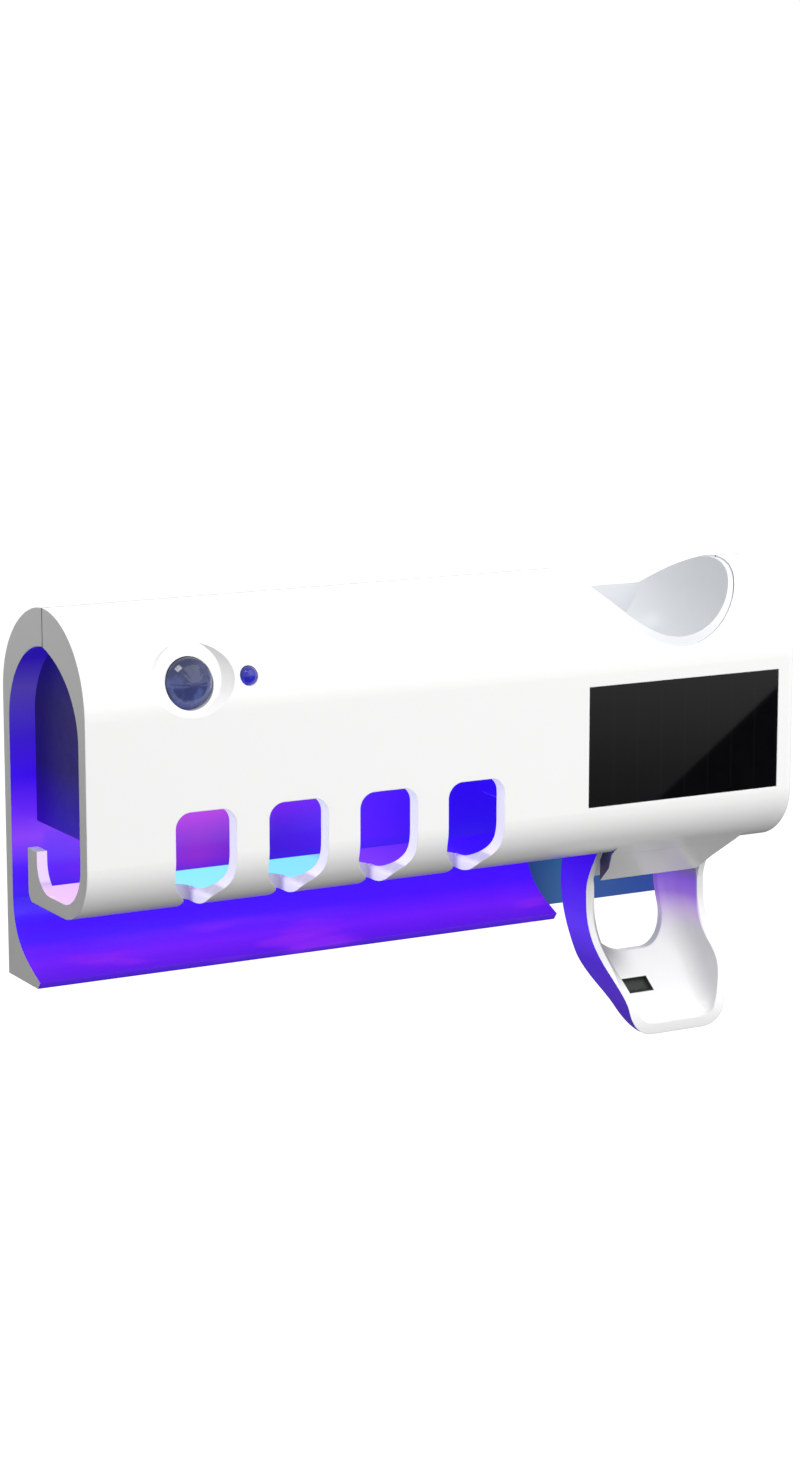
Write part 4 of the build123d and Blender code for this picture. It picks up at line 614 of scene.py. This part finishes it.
def solar_glass():
    """Black laminate: dark cells, with thin upright lines between them, under clear resin."""
    material, shader, tree = make_material("solar_laminate")
    where = coords(tree)
    x, _, z = split(tree, where)
    low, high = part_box("solar_panel")
    cells = 8
    cell_width = (high.x - low.x) / cells
    place = add(
        tree, "ShaderNodeMapRange", {0: x, 1: low.x, 2: low.x + cell_width, 3: 0.0, 4: 1.0}, clamp=False,
    ).outputs[0]
    across_cell = maths(tree, "FRACT", place)
    gap = larger(tree, step(tree, across_cell, 0.03, 0.015), step(tree, across_cell, 0.97, 0.985))
    lines = times(tree, band(tree, z, low.z + 1 * MM, high.z - 1 * MM, 0.05 * MM), gap)
    silicon = mix(tree, noise(tree, where, 5, 3), (0.0022, 0.0022, 0.0026), (0.004, 0.004, 0.005))
    tree.links.new(mix(tree, lines, silicon, (0.0055, 0.0055, 0.006)), shader.inputs["Base Color"])
    relief(tree, shader, noise(tree, where, 22, 1), 0.15, 0.003)
    shader.inputs["Roughness"].default_value = 0.02
    shader.inputs["Specular IOR Level"].default_value = 0.5
    return material


def board_mask():
    """Green solder mask with the relief of the copper tracks under it."""
    material, shader, tree = make_material("solder_mask")
    upright = add(tree, "ShaderNodeMapping", {"Vector": coords(tree), "Rotation": (math.pi / 2, 0, 0)})
    tracks = add(tree, "ShaderNodeTexBrick", {
        "Vector": upright.outputs[0],
        "Scale": 160.0,
        "Mortar Size": 0.06,
        "Color1": (0.02, 0.16, 0.07, 1),
        "Color2": (0.02, 0.14, 0.06, 1),
        "Mortar": (0.05, 0.28, 0.12, 1),
    })
    tree.links.new(tracks.outputs["Color"], shader.inputs["Base Color"])
    relief(tree, shader, tracks.outputs["Fac"], 0.5, 0.04)
    shader.inputs["Roughness"].default_value = 0.3
    return material


def lit_tube():
    """Quartz tube of the lit lamp: a violet core under a clear skin, darker towards the ends."""
    material, shader, tree = make_material("lit_quartz")
    where = coords(tree)
    low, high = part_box("uv_lamp")
    dark_end = 14 * MM
    lit_length = band(tree, split(tree, where)[0], low.x + dark_end, high.x - dark_end, 6 * MM)
    core = mix(tree, noise(tree, where, 6), srgb("9048FF"), srgb("B070FF"))
    tree.links.new(mix(tree, lit_length, srgb("3010A0"), core), shader.inputs["Emission Color"])
    shader.inputs["Emission Strength"].default_value = 2.5
    surface(tree, shader, (0.5, 0.42, 0.7), 0.08, where, mottle=0.1)
    shader.inputs["Coat Weight"].default_value = 1.0
    return material


def battery_wrap():
    """Blue heat-shrink sleeve, drawn tight over the cell's ends."""
    material, shader, tree = make_material("cell_sleeve")
    where = coords(tree)
    low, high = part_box("battery_cell")
    shade = surface(tree, shader, (0.05, 0.16, 0.38), 0.3, where, grain_mm=0.8, grain_depth=0.01, mottle=0.1)
    sleeve = band(tree, split(tree, where)[0], low.x + 0.8 * MM, high.x - 1.6 * MM, 0.1 * MM)
    tree.links.new(mix(tree, sleeve, (0.6, 0.6, 0.58), shade), shader.inputs["Base Color"])
    return material


def dome_resin(name, upper, lower, node, mottle_mm, strength):
    """Tinted clear resin that is lighter towards its lower edge, with lighter patches of painted reflection
    in the facets inside.
    """
    material, shader, tree = make_material(name)
    where = coords(tree)
    z = split(tree, where)[2]
    low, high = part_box(node)
    between = tuple((a + b) / 2 for a, b in zip(lower, upper))
    fade = ramp(tree, z, low.z, high.z, [(0.1, lower), (0.55, between), (1.0, upper)])
    reflection_patches = step(tree, noise(tree, where, mottle_mm), 0.48, 0.66)
    reflection_patch_colour = tuple(min(1.0, c * 1.5 + 0.01) for c in lower)
    shade = mix(tree, times(tree, reflection_patches, step(tree, z, high.z, low.z)), fade, reflection_patch_colour)
    tree.links.new(shade, shader.inputs["Base Color"])
    # the colour also glows: painted light on the motion lens, the indicator light's own glow
    tree.links.new(shade, shader.inputs["Emission Color"])
    shader.inputs["Emission Strength"].default_value = strength
    shader.inputs["Roughness"].default_value = 0.12
    shader.inputs["Specular IOR Level"].default_value = 0.5
    return material


ivory = moulded("inner_plastic", (0.8, 0.8, 0.79))
black = moulded("black_plastic", (0.03, 0.03, 0.032))
PLAIN = {
    "wall_bracket": moulded("bracket_plastic_grain", (0.78, 0.78, 0.77), 0.5, 0.015),
    "adhesive_pad": foam(),
    "electronics_tray": ivory,
    "lamp_socket_left": moulded("socket_plastic_grain", (0.78, 0.77, 0.74), 0.45),
    "battery_holder": black,
    "board_components": moulded("package_epoxy", (0.025, 0.025, 0.028), 0.55, 0.012),
    "switch_slider": black,
    "usb_tongue": black,
    "solar_tape": moulded("foam_tape", (0.04, 0.04, 0.04), 0.8, 0.02),
    "tube_cup": moulded("cup_plastic", (0.69, 0.705, 0.73), 0.32, 0.003, 0.008),
    "pump_body": moulded("pump_plastic_grain", (0.66, 0.7, 0.74), 0.3),
    "plunger": moulded("plunger_plastic", (0.72, 0.74, 0.76), 0.3),
    "check_valve": silicone("valve_silicone", (0.7, 0.72, 0.74)),
    "nozzle": silicone("nozzle_silicone", (0.72, 0.74, 0.78)),
    "control_board": board_mask(),
    "solar_panel": solar_glass(),
    "uv_lamp": lit_tube(),
    "battery_cell": battery_wrap(),
    "reflector": brushed("rolled_aluminium", (0.86, 0.87, 0.9), 0.16, "x", 0.3),
    "pir_sensor": brushed("sensor_can_steel", (0.7, 0.7, 0.72), 0.25, "y"),
    "battery_contacts": brushed("contact_nickel_plate", (0.74, 0.72, 0.66), 0.28, "z"),
    "usb_port": brushed("port_shell_steel", (0.62, 0.63, 0.65), 0.25, "x"),
    "case_screws": brushed("screw_zinc", (0.55, 0.55, 0.57), 0.35, "x"),
    "hinge_pin": brushed("pin_drawn_steel", (0.66, 0.66, 0.68), 0.18, "x"),
    "return_spring": brushed("spring_drawn_wire", (0.42, 0.43, 0.45), 0.3, "y"),
    "indicator_led": dome_resin("led_resin", srgb("10106A"), srgb("2A2CC0"), "indicator_led", 1.6, 0.25),
}
PLAIN["lamp_socket_right"] = PLAIN["lamp_socket_left"]
PLAIN["port_board"] = PLAIN["control_board"]
PLAIN["switch_body"] = PLAIN["usb_port"]
for node_name, material in PLAIN.items():
    wear(node_name, material)


# ---- pieces with more detail than the CAD solids --------------------------------------
def piece(name, build, material, stands_for, body="housing", crease_deg=35):
    """A mesh made by build(bm), which rides on a body. It stands for a CAD node, unless that is None."""
    bm = bmesh.new()
    build(bm)
    bmesh.ops.remove_doubles(bm, verts=bm.verts, dist=1e-7)
    bmesh.ops.recalc_face_normals(bm, faces=bm.faces)
    mesh = bpy.data.meshes.new(name)
    bm.to_mesh(mesh)
    bm.free()
    mesh.shade_smooth()
    mesh.set_sharp_from_angle(angle=math.radians(crease_deg))
    made = bpy.data.objects.new(name, mesh)
    bpy.context.scene.collection.objects.link(made)
    wear(made, material)
    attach(made, body)
    if stands_for:
        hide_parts(stands_for)
    return made


def skin(bm, rings, closed):
    """Faces between each ring of vertices and the next, all the way round. A closed ring has no ends."""
    for ring, following in zip(rings, rings[1:] + rings[:1]):
        for here in range(len(ring) if closed else len(ring) - 1):
            there = (here + 1) % len(ring)
            bm.faces.new((ring[here], ring[there], following[there], following[here]))


def revolve(bm, profile, centre, axis, turns=72):
    """A closed profile of (radius, distance along the axis), in millimetres, turned about that axis."""
    swing = Vector((0, 0, 1)).rotation_difference(Vector(axis))
    rings = []
    for index in range(turns):
        angle = 2 * math.pi * index / turns
        rings.append([
            bm.verts.new(swing @ (Vector((r * math.cos(angle), r * math.sin(angle), along)) * MM) + centre)
            for r, along in profile
        ])
    skin(bm, rings, closed=True)


def centre_of(node, **fixed):
    """Middle of a node's box, with any coordinate given instead."""
    low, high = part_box(node)
    middle = (low + high) / 2
    for axis, value in fixed.items():
        setattr(middle, axis, value)
    return middle


def pir_lens(bm):
    """Dome of a motion sensor: small lens facets in rings on a round shell with a flange."""
    low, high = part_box("pir_lens")
    centre = centre_of("pir_lens", y=high.y)
    height = (high.y - low.y) / MM
    bore_r, flange_r, foot_r, dome_r = 5.8, 7.9, 6.9, 8.0
    floor_at, flange_t, fillet_at = 0.7, 1.1, 1.2
    facet_rings, facets_round, bulge = 5, 14, 0.12
    steps_per_ring, steps_per_facet = 6, 8
    flange = [(0.0, floor_at), (bore_r, floor_at), (bore_r, 0.0), (flange_r, 0.0), (flange_r, flange_t),
              (foot_r, fillet_at)]
    reach = math.asin(foot_r / dome_r)
    steps = facet_rings * steps_per_ring
    around = facets_round * steps_per_facet
    rings = []
    for index in range(around):
        angle = 2 * math.pi * index / around
        u = 2 * ((index / steps_per_facet) % 1.0) - 1
        ring = list(flange)
        for k in range(steps + 1):
            lean = reach * (1 - k / steps)
            v = 2 * ((k / steps_per_ring) % 1.0) - 1
            towards_rim = min(1.0, 2 * lean / reach)
            r = dome_r - bulge * towards_rim * (u * u + v * v) / 2
            ring.append((r * math.sin(lean), height - dome_r + r * math.cos(lean)))
        rings.append([
            bm.verts.new(Vector((r * math.cos(angle), -along, r * math.sin(angle))) * MM + centre)
            for r, along in ring
        ])
    skin(bm, rings, closed=False)


def bellows(bm):
    """Silicone bellows with rounded folds, open at both ends."""
    low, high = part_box("pump_bellows")
    outer_r, inner_r, wall, fold_count, steps_per_fold = 8.7, 6.8, 1.0, 3, 12
    length = (high.y - low.y) / MM
    steps = fold_count * steps_per_fold
    outer = []
    for k in range(steps + 1):
        swell = 0.5 + 0.5 * math.cos(2 * math.pi * fold_count * k / steps)
        outer.append((inner_r + wall + (outer_r - inner_r - wall) * swell, length * k / steps))
    inner = [(r - wall, along) for r, along in reversed(outer)]
    revolve(bm, outer + inner, centre_of("pump_bellows", y=high.y), (0, -1, 0))


def grip(bm):
    """Silicone grip for the tube: a flange, a plain neck and sealing lips in its bore."""
    low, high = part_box("tube_adapter")
    length = (high.z - low.z) / MM
    flange_r, flange_t, neck_r, bore_r, chamfer = 8.0, 2.5, 7.1, 5.0, 0.4
    top_lead_in, bottom_lead_in, neck_chamfer = 0.6, 0.2, 0.5
    lip, lip_count, steps_per_lip, lipped_share, clearance = 0.35, 4, 8, 0.94, 0.1
    outer = [
        (bore_r + top_lead_in, 0.0),
        (flange_r - chamfer, 0.0),
        (flange_r, -chamfer),
        (flange_r, chamfer - flange_t),
        (flange_r - chamfer, -flange_t),
        (neck_r, -flange_t),
        (neck_r, -length + neck_chamfer),
        (neck_r - neck_chamfer, -length),
        (bore_r + bottom_lead_in, -length),
    ]
    steps = lip_count * steps_per_lip
    inner = []
    for k in range(1, steps):
        swell = 0.5 - 0.5 * math.cos(2 * math.pi * lip_count * k / steps)
        inner.append((bore_r - lip * swell + clearance, -length * (1 - k / steps) * lipped_share))
    revolve(bm, outer + inner, centre_of("tube_adapter", z=high.z), (0, 0, 1))


def lamp_caps(bm):
    """Crimped metal end caps, where the tube leaves its sockets."""
    bore_r, rim_r, crimp_r = 4.02, 4.35, 4.2
    cap = [(bore_r, 0.0), (rim_r, 0.0), (rim_r, 1.6), (crimp_r, 1.8), (crimp_r, 2.2), (rim_r, 2.4),
           (rim_r, 3.4), (bore_r, 3.7)]
    left_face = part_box("lamp_socket_left")[1].x
    right_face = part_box("lamp_socket_right")[0].x
    for face, direction in ((left_face, 1), (right_face, -1)):
        revolve(bm, cap, centre_of("uv_lamp", x=face), (direction, 0, 0))


lens_resin = dome_resin("pir_resin", srgb("141838"), srgb("424C84"), "pir_lens", 4.5, 0.12)
piece("motion_lens", pir_lens, lens_resin, "pir_lens", crease_deg=60)

bellows_silicone = silicone("bellows_silicone", (0.74, 0.76, 0.8))
folds = piece("bellows_folds", bellows, bellows_silicone, "pump_bellows")
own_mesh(folds)

piece("tube_grip", grip, silicone("grip_silicone", (0.72, 0.75, 0.79)), "tube_adapter")
piece("lamp_end_caps", lamp_caps, brushed("cap_aluminium", (0.8, 0.81, 0.83), 0.22, "y"), None)
